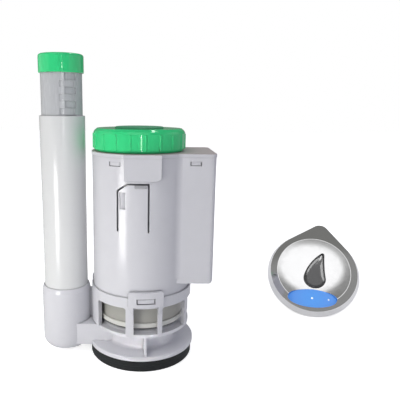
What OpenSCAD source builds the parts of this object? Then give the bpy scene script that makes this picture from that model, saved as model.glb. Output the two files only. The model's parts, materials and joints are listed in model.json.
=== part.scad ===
// Automatic flush valve with its drop-shaped hand sensor, in millimetres.
// The main axis is X = Y = 0, the gasket's lower face is Z = 0 and the front is -Y.
// Angles round the main axis are measured from the front, positive towards +X.

/* [Gasket and base] */
// Outer radius of the rubber gasket
gasket_r = 45; // [43:0.5:47]
// Radius of the hole through the gasket
gasket_bore_r = 29; // [27.5:0.5:31]
// Thickness of the gasket
gasket_h = 10.2; // [8:0.2:12]
// How far the base flange stands out past the gasket
flange_lip = 1.4; // [0.2:0.1:2]
// Thickness of the base flange
flange_h = 3.5; // [2.5:0.5:5]
// Outer radius of the neck above the flange
neck_r = 30.5; // [29.5:0.5:32]
// Wall of the neck
neck_wall = 3.5; // [2.5:0.5:4]
// Height of the neck between flange and ledge
neck_h = 14.9; // [13:0.5:18]
// Thickness of the ledge that carries the cage
ledge_h = 2.7; // [2:0.1:4]
// Height of the valve seat above the ledge
seat_h = 2.7; // [1.5:0.1:3]
// Turn of the base and its latches from the front
base_turn = 6; // [0:1:12]
// Thickness of the ribs under the ledge
rib_w = 1.8; // [1.2:0.2:3]

/* [Cage] */
// How far the cage ring stands out past the housing
cage_step = 1.7; // [1.2:0.1:2.4]
// Wall of the cage
cage_wall = 4.1; // [3.6:0.1:4.8]
// Height of the water windows
window_h = 23.7; // [20:0.1:26]
// Width of the window under each latch
latch_window_w = 19.8; // [16:0.2:20]
// Width of the window to the left of each latch
left_window_w = 29.3; // [24:0.1:29.5]
// Angle from a latch window to the one on its left
left_window_turn = 41.5; // [41:0.1:42]
// Width of the window to the right of each latch
right_window_w = 25.7; // [22:0.1:26]
// Angle from a latch window to the one on its right
right_window_turn = 35.5; // [35:0.1:36]
// Height of the ring above the windows
cage_ring_h = 8.8; // [8:0.2:10]
// Thickness of the lip that the housing stands on
cage_lip_h = 1.8; // [1.2:0.2:2.4]
// How far the latch plates stand out past the cage ring
latch_step = 2.1; // [1.6:0.1:3]
// Half the angle that a latch plate spans
latch_half = 18.4; // [16:0.2:19]
// Height of a latch plate
latch_h = 12.8; // [12:0.2:14]
// Half the angle that each of the two rear latch plates spans
rear_latch_half = 12; // [11.6:0.2:14]
// Height of the two rear latch plates
rear_latch_h = 9; // [8.6:0.2:12]
// Half the angle of the slot in a latch plate
slot_half = 9.6; // [8:0.2:11]
// Height of the slot in a latch plate
slot_h = 4.6; // [3.5:0.1:5]

/* [Housing] */
// Outer radius of the round housing
housing_r = 42.2; // [42:0.1:42.5]
// Wall of the housing
wall = 2.2; // [1.8:0.1:2.4]
// Height of the housing, from the cage lip to the cover
housing_h = 120; // [118:1:130]
// How far the side box reaches past the round housing
box_reach = 17.4; // [16:0.1:19]
// Front face of the side box
box_front = 30; // [26:0.5:32]
// Rear face of the side box
box_rear = 37.2; // [36.5:0.1:40]
// Height of the box floor above the housing's lower edge
box_floor = 15.2; // [13:0.2:18]
// Radius of the box's rounded edges
box_round = 3.6; // [2.5:0.1:5]
// Radius of the hollow where the box meets the round housing
blend_r = 8; // [4:0.5:9]
// Width of the cut round the snap tongue
slit_w = 1.3; // [1:0.1:1.6]
// Width of the flat pad at the housing's top edge
pad_w = 29; // [26:0.5:32]
// Height of the flat pad
pad_h = 17.8; // [14:0.2:20]
// How far the flat pad stands out of the round housing
pad_proud = 0.3; // [0.1:0.1:1]
// Distance of the pad's middle to the right of the main axis
pad_shift = 1.3; // [0:0.1:2]

/* [Cover and lid] */
// Thickness of the cover plate
cover_h = 2.7; // [2:0.1:4]
// Overhang of the cover plate
cover_lip = 0.4; // [0.3:0.1:1.2]
// Distance of the lid's axis from the main axis, towards the overflow tube
lid_shift = 2.5; // [1.5:0.5:2.5]
// Wall of the screw lid
lid_side = 2.8; // [2.4:0.1:3.4]
// Height of the screw lid
lid_h = 18.2; // [17.6:0.2:20]
// Height of the chamfer round the lid's top
lid_chamfer = 3.6; // [3:0.2:5]
// Height of the chamfer round the lid's lower edge
lid_foot = 2; // [1:0.1:3]
// Number of grip ribs on the lid
grip_ribs = 20; // [12:1:24]
// Radius of the push disc in the lid
disc_r = 20.3; // [18:0.1:21]
// How far the push disc stands out of the lid
disc_proud = 1.4; // [1:0.1:3]
// Travel of the push disc
disc_travel = 3; // [2:0.2:3]
// Distance of the threaded neck's face inside the housing's
neck_inset = 5.8; // [5.4:0.1:6.2]
// Height of the threaded neck above the cover plate
thread_h = 12; // [11:0.2:12.4]
// Rise of the lid when it is unscrewed
lid_rise = 9; // [6:0.5:10]

/* [Overflow] */
// Space between the tube socket and the cage ring
socket_gap = 2; // [0.8:0.1:4]
// Outer radius of the overflow tube
overflow_r = 18.94; // [18.8:0.02:19.2]
// Wall of the two overflow tubes
tube_wall = 1.6; // [1.4:0.1:1.8]
// Height of the overflow tube's rim
overflow_top = 207.8; // [195:0.2:215]
// Wall of the tube socket
socket_wall = 1.95; // [1.8:0.05:2.4]
// Height of the socket's rim
socket_top = 61; // [56:0.5:64]
// Height of the slope round the socket's rim
rim_slope = 4; // [2:0.5:5]
// Height of the socket's underside
socket_bottom = 4.2; // [2:0.2:6]
// Height of the floor of the water passage between socket and neck
passage_floor = 13.4; // [13:0.2:15]
// Height of the water passage
passage_h = 12.6; // [11:0.2:13]
// Half the width of the bridge between socket and neck
bridge_half = 18; // [16:0.5:19]
// Height of the collar's top edge above the ground
collar_top = 257; // [250:0.2:265]
// Height of the collar
collar_h = 15; // [14:0.2:20]
// Outer radius of the collar
collar_r = 18.5; // [18.2:0.1:19]
// Length of the sliding tube inside the collar and overflow tube
slider_length = 122; // [110:1:130]
// Spacing of the height notches
notch_pitch = 11; // [10:0.1:14]
// Height of one notch
notch_h = 5.1; // [4:0.1:5.2]
// Distance of the lowest notch from the sliding tube's lower end
first_notch = 15.2; // [6:0.1:20]
// Depth of the notches
notch_depth = 0.8; // [0.4:0.1:1]

/* [Plug and drive] */
// Lift of the plug
plug_lift = 15; // [12:0.5:15]
// Space between the plug and the cage
plug_gap = 2; // [1.6:0.1:3.4]
// Thickness of the plug's disc
plug_h = 4.1; // [3:0.1:5]
// Distance of the float cup's face inside the plug's
float_inset = 1.5; // [1:0.1:3]
// Height of the float cup
float_h = 26.6; // [24:0.2:28]
// Wall of the float cup
float_wall = 1.8; // [1.4:0.1:2.4]
// Radius of the plug's stem
stem_r = 4; // [3.5:0.1:4.2]
// Radius of the guide pin under the plug
pin_r = 3; // [2.5:0.1:3.3]
// Room between the stem's guide and the lift arm
arm_room = 6; // [5:0.5:6.5]
// Height of the output gear's axle above the lift arm
output_rise = 34; // [33:0.5:36]
// Distance of the output gear's axle behind the front
output_y = -2; // [-3:0.5:0]
// Tooth size of rack and output pinion
rack_module = 1; // [0.9:0.05:1.05]
// Teeth of the output pinion
output_teeth = 14; // [14:1:16]
// Tooth size of the second gear pair
second_module = 0.8; // [0.7:0.05:0.85]
// Tooth size of the first gear pair
first_module = 0.7; // [0.6:0.05:0.75]
// Radius of the motor
motor_r = 7.8; // [6.5:0.1:8]
// Length of the motor
motor_length = 20; // [18:1:22]
// Room between the battery cells and the tub's wall
cell_room = 0.6; // [0.6:0.1:3]
// Height of the manual switch
switch_h = 6.1; // [4:0.1:8]
// Radius of the gear axles
axle_r = 1.5; // [1.2:0.1:1.8]

/* [Sensor] */
// Distance of the sensor to the right of the main axis
sensor_x = 187; // [150:1:220]
// Distance of the sensor behind the main axis
sensor_y = 93.6; // [60:0.2:120]
// Radius of the sensor plate's round part
plate_r = 44.5; // [42:0.5:46]
// Distance of the small round tip from the plate's centre
tip_reach = 50.2; // [46:0.1:52]
// Radius of the small round tip
tip_r = 7; // [6:0.5:8]
// Thickness of the sensor plate
plate_h = 11; // [10:0.5:13]
// How far the plate's rear edge flares out
plate_flare = 3.5; // [2:0.5:4.5]
// Radius of the dish in the plate
dish_r = 37.5; // [36:0.5:39]
// Depth of the dish
dish_depth = 5; // [3:0.5:6]
// Radius of the crown that falls away from the dish's rim
crown_r = 145; // [120:5:200]
// Height of the drop-shaped window
drop_h = 42; // [38:0.5:43]
// Half the length of the oval button
lens_a = 24.6; // [22:0.1:25]
// Half the width of the oval button
lens_b = 9.9; // [9:0.1:10.2]
// Radius of the sensor's rear housing
back_r = 33; // [30:0.5:35]
// Depth of the sensor's rear housing
back_h = 12; // [10:0.5:14]
// Radius of the sensor's threaded stem
sensor_stem_r = 12; // [11:0.5:13]
// Depth of the thread on the sensor's stem
stem_thread = 0.6; // [0.5:0.1:0.9]
// Radius of the nut on the sensor's stem, over its corners
nut_r = 17.5; // [16:0.5:19]
// Height of the nut
nut_h = 6; // [5:0.5:7]
// Radius of the rubber washer on the sensor's stem
washer_r = 20; // [18:0.5:24]
// Thickness of the rubber washer
washer_h = 2.5; // [2:0.1:2.8]
// Lean of the plate from lying flat
lean = 49; // [45:1:55]
// Travel of the sensor's button
button_travel = 1.5; // [1:0.1:1.5]

/* [Hidden] */
$fn = 96;

gap = 0.3;            // between pieces that move past each other
fit = 0.08;           // radial clearance of a running shaft
slack = 0.1;          // between pieces that only sit together
over = 1;             // how far a cut runs past the face it opens

body_grey = [0.84, 0.84, 0.87];
tube_grey = [0.76, 0.77, 0.8];
lid_green = [0.24, 0.82, 0.52];
rubber_black = [0.16, 0.17, 0.17];
plug_beige = [0.62, 0.61, 0.57];
steel = [0.72, 0.73, 0.75];

cage_r = housing_r + cage_step;
cage_bore_r = cage_r - cage_wall;
latch_r = cage_r + latch_step;

base_z = gasket_h;
flange_r = gasket_r + flange_lip;
flange_top = base_z + flange_h;
ledge_z = flange_top + neck_h;
ledge_top = ledge_z + ledge_h;
seat_top = ledge_top + seat_h;
ledge_r = cage_r - 1.9;
neck_bore_r = neck_r - neck_wall;
seat_r = neck_r + 2.5;

cage_z = ledge_top;
window_top = cage_z + window_h;
cage_lip_top = window_top + cage_lip_h;
cage_top = window_top + cage_ring_h;
latch_z = cage_lip_top - slack;
slot_z = latch_z + 2.8;

housing_z = cage_lip_top;
housing_top = housing_z + housing_h;
housing_bore_r = housing_r - wall;
box_z = housing_z + box_floor;
box_x = housing_r + box_reach;
catch_x = box_x - 20.8;
cable_x = box_x - 12.9;
cover_z = housing_top;
cover_top = cover_z + cover_h;

socket_bore_r = overflow_r + gap;
socket_r = socket_bore_r + socket_wall;
overflow_x = cage_r + socket_gap + socket_r;
tube_seat = passage_floor + passage_h + 2;
slider_r = overflow_r - tube_wall - gap;
slider_bore_r = slider_r - tube_wall;
slider_top = collar_top - 2;
slider_z = slider_top - slider_length;

seal_h = 1;
plug_r = cage_bore_r - plug_gap;
float_r = plug_r - float_inset;
seal_z = seat_top + gap;
plug_z = seal_z + seal_h;
plug_top = plug_z + plug_h;
float_top = plug_top + float_h;
guide_z = float_top + plug_lift + 3;
guide_h = 4;
arm_h = 6;
arm_z = guide_z + guide_h + arm_room;
output_z = arm_z + output_rise;
pin_z = base_z + 0.4;
spider_z = base_z + 7.6;
spider_h = 12;
stem_top = arm_z + arm_h + 2.4;

thread_r = housing_r - neck_inset;
thread_top = cover_top + thread_h;
lid_r = thread_r + lid_side;
tub_r = thread_r - 2.2;
tub_z = arm_z + arm_h + plug_lift + 3;
tub_wall = 1.4;
tub_flange_h = 1.6;
cell_z = tub_z + tub_wall + 3;
cell_space = 0.8;     // between two cells
cell_r = (tub_r - tub_wall - cell_room - cell_space / sqrt(2)) / (1 + sqrt(2));
cell_ring = (cell_r + cell_space / 2) * sqrt(2);
carrier_h = 3;

lid_z = cover_top + slack + gap;
lid_top = lid_z + lid_h;
lid_wall = 2;
lid_ceiling = lid_top - lid_wall - 0.6;
well_floor_h = 2;
disc_top = lid_top + disc_proud;
disc_z = lid_top - 2.4;
well_z = disc_z - disc_travel - gap;
disc_stem_r = 4;
disc_stem_z = well_z - well_floor_h - 6;
switch_top = disc_stem_z - disc_travel - gap;
carrier_z = switch_top - switch_h - carrier_h;
cell_length = carrier_z - slack - cell_z;

plate_x = box_x - wall;
rack_x = plate_x - 15.2;
rack_w = 5;
rack_pitch_y = output_y - rack_module * output_teeth / 2;
output_pinion_x = rack_x - 0.5;
output_gear_teeth = 36;
idler_pinion_teeth = 12;
idler_gear_teeth = 40;
motor_teeth = 10;
second_distance = second_module * (output_gear_teeth + idler_pinion_teeth) / 2 + 0.05;
first_distance = first_module * (idler_gear_teeth + motor_teeth) / 2 + 0.05;
idler_turn = 50;      // direction from the output axle to the idler axle, above level
motor_turn = 40;      // direction from the idler axle to the motor, above level
idler_y = output_y + second_distance * cos(idler_turn);
idler_z = output_z + second_distance * sin(idler_turn);
motor_y = idler_y + first_distance * cos(motor_turn);
motor_z = idler_z + first_distance * sin(motor_turn);
inner_plate_x = rack_x - 3.5;
inner_plate_w = 2;
outer_plate_w = 1.2;
outer_plate_x = plate_x - slack - outer_plate_w;
motor_face_x = rack_x + 9.5;
frame_z = arm_z + arm_h + plug_lift + 3.4;

plate_turn = -15;     // turn of the sensor towards the valve
plate_roll = 8;       // roll of the sensor on its round rim
rear_r = plate_r + plate_flare;
sensor_z = rear_r * sin(lean);
sensor_stem_length = (sensor_z - sensor_stem_r * sin(lean)) / cos(lean);
lens_u = 3.4;
lens_v = -30.6;
lens_turn = 9;
plate_recess = 1;
lens_floor = 2.2;
lens_top = 9.6;
window_ledge = 2.4;
nut_z = -back_h - 9;
shank_r = sensor_stem_r - stem_thread;

// A polar point (radius, angle from the front) on the XY plane
function polar(r, a) = [r * sin(a), -r * cos(a)];
// Points of an arc in the plane, from angle a to b
function arc(c, r, a, b, n) = [for (i = [0:n]) c + r * [cos(a + (b - a) * i / n), sin(a + (b - a) * i / n)]];

// Half the angle of an involute tooth at radius r, for a base circle rb
function roll_angle(r, rb) = let (a = acos(min(1, rb / r))) tan(a) * 180 / PI - a;
function flank(r, rp, half) = half + roll_angle(rp, rp * cos(20)) - roll_angle(max(r, rp * cos(20)), rp * cos(20));
// Outline of a spur gear with one tooth centred on +X
function gear_points(m, n, play) = let (rp = m * n / 2, half = 90 / n - play / rp * 90 / PI,
    radii = [rp - 1.2 * m, rp - 0.45 * m, rp, rp + 0.5 * m, rp + 0.95 * m])
    [for (i = [0:n - 1]) for (k = [0:9]) let (r = radii[k < 5 ? k : 9 - k], s = k < 5 ? -1 : 1,
        a = 360 * i / n + s * flank(r, rp, half)) [r * cos(a), r * sin(a)]];

module tube(r_out, r_in, h) {
    difference() {
        cylinder(r = r_out, h = h);
        translate([0, 0, -over]) cylinder(r = r_in, h = h + 2 * over);
    }
}

// Part of a ring, centred on an angle from the front
module ring_part(r_in, r_out, h, mid, half) {
    rotate([0, 0, mid - 90 - half]) rotate_extrude(angle = 2 * half)
        translate([r_in, 0]) square([r_out - r_in, h]);
}

// Rectangle from one corner to the other with round corners
module round_rect(a, b, r) {
    translate([a[0], a[1] + r]) square([b[0] - a[0], b[1] - a[1] - 2 * r]);
    translate([a[0] + r, a[1]]) square([b[0] - a[0] - 2 * r, b[1] - a[1]]);
    for (x = [a[0] + r, b[0] - r], y = [a[1] + r, b[1] - r]) translate([x, y]) circle(r = r);
}

// Stands a drawing up to face the front, its x along X and its y along Z
module face_front(y, depth) {
    translate([0, y, 0]) rotate([90, 0, 0]) linear_extrude(depth) children();
}

// Turns a drawing to lie in the YZ plane and extrudes it along +X
module along_x(x, y, z, w) {
    translate([x, y, z]) rotate([90, 0, 90]) linear_extrude(w) children();
}

// Puts the sensor's own frame, plate in XY and front along +Z, where it stands
module at_sensor() {
    translate([sensor_x, sensor_y, sensor_z]) rotate([0, 0, plate_turn]) rotate([lean, 0, 0])
        rotate([0, 0, -plate_roll]) children();
}

module base_gasket() {
    soft = 0.8;
    color(rubber_black) rotate_extrude() polygon(concat(
        [[gasket_bore_r, 0], [gasket_r - soft, 0]],
        arc([gasket_r - soft, soft], soft, -80, 0, 6),
        arc([gasket_r - soft, gasket_h - soft], soft, 10, 90, 6),
        [[gasket_bore_r, gasket_h]]));
}

module base_profile() {
    f = 2.5;
    polygon(concat(
        [[neck_bore_r, base_z], [flange_r, base_z], [flange_r, flange_top - 0.6], [flange_r - 0.6, flange_top]],
        arc([neck_r + f, flange_top + f], f, 270, 180, 6),
        arc([neck_r + f, ledge_z - f], f, 180, 90, 6),
        [[ledge_r, ledge_z], [ledge_r, ledge_top], [seat_r + 3.5, ledge_top], [seat_r, seat_top - 0.8]],
        arc([seat_r - 1, seat_top - 0.8], 0.8, 10, 170, 6),
        [[neck_bore_r, ledge_top]]));
}

module socket_profile() {
    foot = 9;
    polygon(concat([[0, socket_bottom]],
        arc([socket_r - foot, socket_bottom + foot], foot, -90, 0, 8),
        [[socket_r, socket_top - rim_slope], [socket_r - 0.9, socket_top - 0.8], [socket_bore_r + 0.4, socket_top],
        [0, socket_top]]));
}

module valve_base() {
    web_top = socket_top - rim_slope - 0.6;
    web_wall = 4;
    mouth_x = sqrt(pow(neck_r, 2) - pow(bridge_half, 2)) - 1;
    passage_half = bridge_half - 4;
    color(body_grey) {
        difference() {
            union() {
                rotate_extrude() base_profile();
                for (k = [0:2]) rotate([0, 0, base_turn - 90 + 120 * k]) rotate([90, 0, 0])
                    translate([0, 0, -rib_w / 2]) linear_extrude(rib_w) polygon([
                        [neck_r - 1, flange_top - 0.5], [flange_r - 0.8, flange_top - 0.5],
                        [ledge_r - 0.4, ledge_z + 0.5], [neck_r - 1, ledge_z + 0.5]]);
                translate([-overflow_x, -bridge_half, base_z])
                    cube([overflow_x - mouth_x, 2 * bridge_half, ledge_z - base_z + 0.6]);
                translate([-overflow_x, 0, 0]) rotate_extrude() socket_profile();
                difference() {
                    translate([-overflow_x, -web_wall / 2, ledge_z + 0.4])
                        cube([overflow_x - cage_r + 10, web_wall, web_top - ledge_z - 0.4]);
                    translate([0, 0, ledge_top]) cylinder(r = cage_r + slack, h = socket_top);
                }
            }
            translate([0, 0, base_z - over]) cylinder(r = neck_bore_r, h = ledge_top - base_z + over + seat_h);
            translate([-overflow_x, 0, tube_seat]) cylinder(r = socket_bore_r, h = socket_top);
            translate([-overflow_x, 0, passage_floor - 7]) cylinder(r = slider_r, h = socket_top);
            translate([-overflow_x, 0, socket_top - 14]) cylinder(r = socket_bore_r + 1.1, h = 2);
            translate([-overflow_x, -passage_half, passage_floor])
                cube([overflow_x - neck_bore_r / 2, 2 * passage_half, passage_h]);
        }
        difference() {
            union() {
                translate([0, 0, spider_z]) cylinder(r = pin_r + 3, h = spider_h);
                for (k = [0:2]) rotate([0, 0, 120 * k]) translate([pin_r + 1, -1.25, spider_z + 1])
                    cube([neck_bore_r - pin_r, 2.5, spider_h - 2]);
            }
            translate([0, 0, spider_z - over]) cylinder(r = pin_r + fit, h = spider_h + 2 * over);
        }
    }
}

// Window outline standing on y = 0, with its upper corners rounded
module window_shape(w, h, r) {
    translate([-w / 2, -over]) square([w, h - r + over]);
    translate([-w / 2 + r, 0]) square([w - 2 * r, h]);
    for (s = [-1, 1]) translate([s * (w / 2 - r), h - r]) circle(r = r);
}

module cage_window(a, w) {
    rotate([0, 0, a]) face_front(-cage_bore_r + 8, 20) translate([0, cage_z]) window_shape(w, window_h, 2.2);
}

module latch_cage() {
    function plate_half(k) = latch_r * sin(k == 0 ? latch_half : rear_latch_half);
    function plate_height(k) = k == 0 ? latch_h : rear_latch_h;
    gusset_h = 7;
    gusset_foot = latch_window_w / 2 + 0.3;
    color(body_grey) difference() {
        union() {
            translate([0, 0, cage_z]) tube(cage_r, cage_bore_r, cage_top - cage_z);
            for (k = [0:2]) intersection() {
                translate([0, 0, latch_z])
                    ring_part(cage_r - 0.5, latch_r, latch_h, base_turn + 120 * k, latch_half + 3);
                rotate([0, 0, base_turn + 120 * k]) face_front(-cage_bore_r + 8, 20) translate([0, latch_z])
                    window_shape(2 * plate_half(k), plate_height(k), 2.2);
            }
            for (s = [-1, 1]) intersection() {
                translate([0, 0, latch_z - gusset_h])
                    ring_part(cage_r - 0.5, latch_r - 0.6, gusset_h + 1, base_turn, latch_half + 3);
                rotate([0, 0, base_turn]) face_front(-cage_bore_r + 8, 20) polygon([
                    [s * gusset_foot, latch_z - gusset_h], [s * (plate_half(0) - 0.25), latch_z - 0.3],
                    [s * (plate_half(0) - 0.25), latch_z + 0.8], [s * gusset_foot, latch_z + 0.8]]);
            }
        }
        translate([0, 0, cage_lip_top]) cylinder(r = housing_r + gap, h = 60);
        for (k = [0:2]) {
            cage_window(base_turn + 120 * k, latch_window_w);
            cage_window(base_turn - left_window_turn + 120 * k, left_window_w);
            // The wall beside the web stays closed
            if (k < 2) cage_window(base_turn + right_window_turn + 120 * k, right_window_w);
            translate([0, 0, slot_z])
                ring_part(housing_r, latch_r + 2, slot_h, base_turn + 120 * k, slot_half);
        }
    }
}

// The side box, drawn smaller by inset on its outer sides
module box_block(inset) {
    r = max(0.5, box_round - inset);
    top = housing_top + (inset > 0 ? over : 0);
    intersection() {
        translate([0, 0, box_z + inset]) linear_extrude(top - box_z - inset)
            round_rect([0, -box_front + inset], [box_x - inset, box_rear - inset], r);
        face_front(box_rear + over, box_front + box_rear + 2 * over)
            round_rect([-10, box_z + inset], [box_x - inset, top + 20], r);
    }
}

// Hollow blend that fills the corner between a flat box side at y and the round housing
module blend(y) {
    s = sign(y);
    cy = abs(y) + blend_r;
    cx = sqrt(pow(housing_r + blend_r, 2) - cy * cy);
    k = housing_r / (housing_r + blend_r);
    difference() {
        polygon([[cx * k - 2, s * cy * k - s * 3], [cx * k, s * cy * k], [cx, s * abs(y)],
            [cx, s * (abs(y) - 1)]]);
        translate([cx, s * cy]) circle(r = blend_r);
    }
}

// Outline of the cut round the snap tongue, as it is seen from the front
module tongue_slit() {
    left = -18.4;
    right = 6.1;
    top = housing_z + 99.8;
    bottom = housing_z + 62;
    corner = [-10.8, -5.5];
    run = corner[0] - left;
    module bar(a, b) {
        d = b - a;
        translate(a) rotate(atan2(d[1], d[0])) translate([0, -slit_w / 2]) square([norm(d), slit_w]);
        for (p = [a, b]) translate(p) circle(r = slit_w / 2);
    }
    bar([right, bottom], [right, top]);
    bar([right, top], [corner[0], top]);
    bar([corner[0], top], [left, top + corner[1]]);
    bar([left, top + corner[1]], [left, bottom]);
}

// Outline of the shallow recess beside the slit's left edge
module tongue_recess() {
    translate([-16.7, housing_z + 79.8]) square([4.6, 13.4]);
}

// Plan of the flat pad, drawn larger by grow on its outer sides
module pad_plan(grow) {
    translate([pad_shift - pad_w / 2 - grow, -housing_r - pad_proud - grow]) square([pad_w + 2 * grow, 12 + grow]);
}

module housing() {
    pad_corner = [3.8, 1.9];
    pad_right = pad_shift + pad_w / 2;
    hook_half = 7;
    recess_h = 1.3;
    color(body_grey) difference() {
        union() {
            translate([0, 0, housing_z]) cylinder(r = housing_r, h = housing_h);
            box_block(0);
            translate([0, 0, box_z + box_round]) linear_extrude(housing_top - box_z - box_round) {
                blend(-box_front);
                blend(box_rear);
            }
            difference() {
                translate([0, 0, housing_top - pad_h]) linear_extrude(pad_h) pad_plan(0);
                face_front(-housing_bore_r / 2, housing_r) translate([pad_right, housing_top - pad_h])
                    polygon([[-pad_corner[0], -over], [over, -over], [over, pad_corner[1]], [0, pad_corner[1]],
                        [-pad_corner[0], 0]]);
            }
            for (k = [0:2]) translate([0, 0, slot_z + 0.6])
                ring_part(housing_r - 0.5, latch_r - 0.8, slot_h - 1.2, base_turn + 120 * k, slot_half - 1);
            for (y = [-box_front + 9, box_rear - 9], z = [box_z + 8, box_z + 30])
                translate([plate_x - 5.2, y, z]) rotate([0, 90, 0]) cylinder(r = 2.6, h = 6);
        }
        difference() {
            union() {
                translate([0, 0, housing_z - over]) cylinder(r = housing_bore_r, h = housing_h + 2 * over);
                box_block(wall);
            }
            for (y = [-box_front + 9, box_rear - 9], z = [box_z + 8, box_z + 30])
                translate([plate_x - 5.2, y, z]) rotate([0, 90, 0]) cylinder(r = 2.6, h = 6);
            translate([0, 0, guide_z - 2]) difference() {
                tube(housing_bore_r + 1, housing_bore_r - 1.8, 2);
                translate([housing_bore_r - 15, -box_front + wall, -over])
                    cube([20, box_front + box_rear - 2 * wall, 4]);
            }
        }
        face_front(-housing_r + 14, 20) tongue_slit();
        intersection() {
            face_front(-housing_r + 14, 20) tongue_recess();
            translate([0, 0, housing_z]) tube(housing_r + 2, housing_r - recess_h, housing_h);
        }
        translate([0, 0, housing_top - 6.8]) ring_part(housing_bore_r - 2, housing_r + 2, 3.4, -29.5, hook_half);
        translate([0, 0, housing_top - 6.8]) ring_part(housing_bore_r - 2, housing_r + 2, 3.4, 205, hook_half);
        face_front(-box_front + wall + over, wall + 2 * over)
            translate([catch_x, housing_top - 6.8]) square([8.9, 3.4]);
        translate([cable_x, box_rear - wall - over, housing_top - 22]) rotate([-90, 0, 0])
            cylinder(r = 5, h = wall + 2 * over);
    }
}

module cover_outline(grow) {
    circle(r = housing_r + grow);
    pad_plan(grow);
    round_rect([0, -box_front - grow], [box_x + grow, box_rear + grow], box_round + grow);
    blend(-box_front - grow);
    blend(box_rear + grow);
}

module top_cover() {
    hook_r = housing_bore_r - slack;
    color(body_grey) {
        difference() {
            union() {
                translate([0, 0, cover_z]) linear_extrude(cover_h) cover_outline(cover_lip);
                translate([-lid_shift, 0, cover_z]) cylinder(r = thread_r, h = thread_top - cover_z);
            }
            translate([-lid_shift, 0, cover_z - over]) cylinder(r = tub_r + slack, h = 40);
        }
        for (a = [-29.5, 205]) {
            translate([0, 0, cover_z - 10]) ring_part(hook_r - 1.6, hook_r, 10.5, a, 6);
            translate([0, 0, cover_z - 6.4]) ring_part(hook_r - 0.5, housing_r - 0.5, 2.95, a, 6.3);
        }
        translate([catch_x + 0.6, -box_front + wall + slack, cover_z - 10]) cube([7.7, 1.6, 10.5]);
        translate([catch_x + 0.6, -box_front + 0.5, cover_z - 6.4]) cube([7.7, wall + 0.6, 2.95]);
    }
}

module stem_guide() {
    guide_r = housing_bore_r - slack;
    color(body_grey) difference() {
        union() {
            translate([0, 0, guide_z]) tube(guide_r, guide_r - 4, guide_h);
            translate([0, 0, guide_z]) cylinder(r = stem_r + 3.5, h = guide_h);
            for (k = [0:2]) rotate([0, 0, 90 + 120 * k]) translate([stem_r + 1, -1.5, guide_z])
                cube([guide_r - stem_r - 3, 3, guide_h]);
        }
        translate([0, 0, guide_z - over]) cylinder(r = stem_r + fit, h = guide_h + 2 * over);
    }
}

module battery_tub() {
    color(body_grey) translate([-lid_shift, 0, 0]) difference() {
        union() {
            translate([0, 0, tub_z]) cylinder(r = tub_r, h = thread_top - tub_z);
            translate([0, 0, thread_top]) cylinder(r = thread_r, h = tub_flange_h);
        }
        translate([0, 0, tub_z + tub_wall]) cylinder(r = tub_r - tub_wall, h = 100);
    }
}

module battery_cells() {
    color(steel) translate([-lid_shift, 0, cell_z]) for (k = [0:3]) rotate([0, 0, 45 + 90 * k])
        translate([cell_ring, 0, 0]) {
            cylinder(r = cell_r, h = cell_length - 1.5);
            cylinder(r = 3.5, h = cell_length);
        }
}

module contact_carrier() {
    color(body_grey) translate([-lid_shift, 0, carrier_z]) difference() {
        cylinder(r = tub_r - tub_wall - slack, h = carrier_h);
        for (s = [-1, 1]) translate([s * 24, 0, -over]) cylinder(r = 4, h = carrier_h + 2 * over);
    }
}

module contact_springs() {
    module coil(r, h) {
        for (i = [0:2]) translate([0, 0, 0.35 + i * (h - 0.7) / 2]) rotate_extrude()
            translate([r - 0.8 * i, 0]) circle(r = 0.34, $fn = 16);
        for (i = [0, 1]) translate([r - 0.8 * i - 0.4, 0, 0.35 + i * (h - 0.7) / 2])
            cylinder(r = 0.3, h = (h - 0.7) / 2, $fn = 16);
    }
    color(steel) translate([-lid_shift, 0, 0]) for (k = [0:3]) rotate([0, 0, 45 + 90 * k])
        translate([cell_ring, 0, tub_z + tub_wall + 0.05]) coil(6, 2.9);
}

module manual_switch() {
    switch_z = carrier_z + carrier_h;
    color([0.2, 0.2, 0.22]) translate([-lid_shift, 0, switch_z]) {
        translate([-7, -7, 0]) cube([14, 14, switch_top - switch_z - 2]);
        cylinder(r = 3, h = switch_top - switch_z);
    }
}

// Outline of the gearbox plates in the YZ plane
module frame_outline() {
    round_rect([rack_pitch_y - 10, frame_z], [motor_y + motor_r + 2, motor_z + motor_r + 2], 4);
}

module frame_posts(x0, x1, r) {
    for (p = [[rack_pitch_y - 6.5, motor_z + motor_r - 3], [motor_y + motor_r - 2, frame_z + 4]])
        translate([x0, p[0], p[1]]) rotate([0, 90, 0]) cylinder(r = r, h = x1 - x0);
}

module drive_frame() {
    rail_y = rack_pitch_y - 7.2;
    color([0.9, 0.9, 0.88]) difference() {
        union() {
            along_x(inner_plate_x, 0, 0, inner_plate_w) frame_outline();
            along_x(outer_plate_x, 0, 0, outer_plate_w) frame_outline();
            frame_posts(inner_plate_x, outer_plate_x + outer_plate_w, 3);
            along_x(inner_plate_x, 0, 0, rack_x + rack_w - inner_plate_x)
                translate([rail_y - 2.4, frame_z + 1]) square([2.4 - gap, 32]);
        }
        for (p = [[output_y, output_z], [idler_y, idler_z]]) translate([inner_plate_x - over, p[0], p[1]])
            rotate([0, 90, 0]) cylinder(r = axle_r + 0.02, h = plate_x, $fn = 48);
        translate([inner_plate_x - over, motor_y, motor_z]) rotate([0, 90, 0])
            cylinder(r = motor_r + 0.05, h = 3 * inner_plate_w);
        frame_posts(inner_plate_x - over, inner_plate_x + 8, 1.3);
    }
}

module gear_axles() {
    color(steel) for (p = [[output_y, output_z], [idler_y, idler_z]]) translate([inner_plate_x, p[0], p[1]])
        rotate([0, 90, 0]) cylinder(r = axle_r, h = outer_plate_x + outer_plate_w - inner_plate_x, $fn = 48);
}

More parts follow.
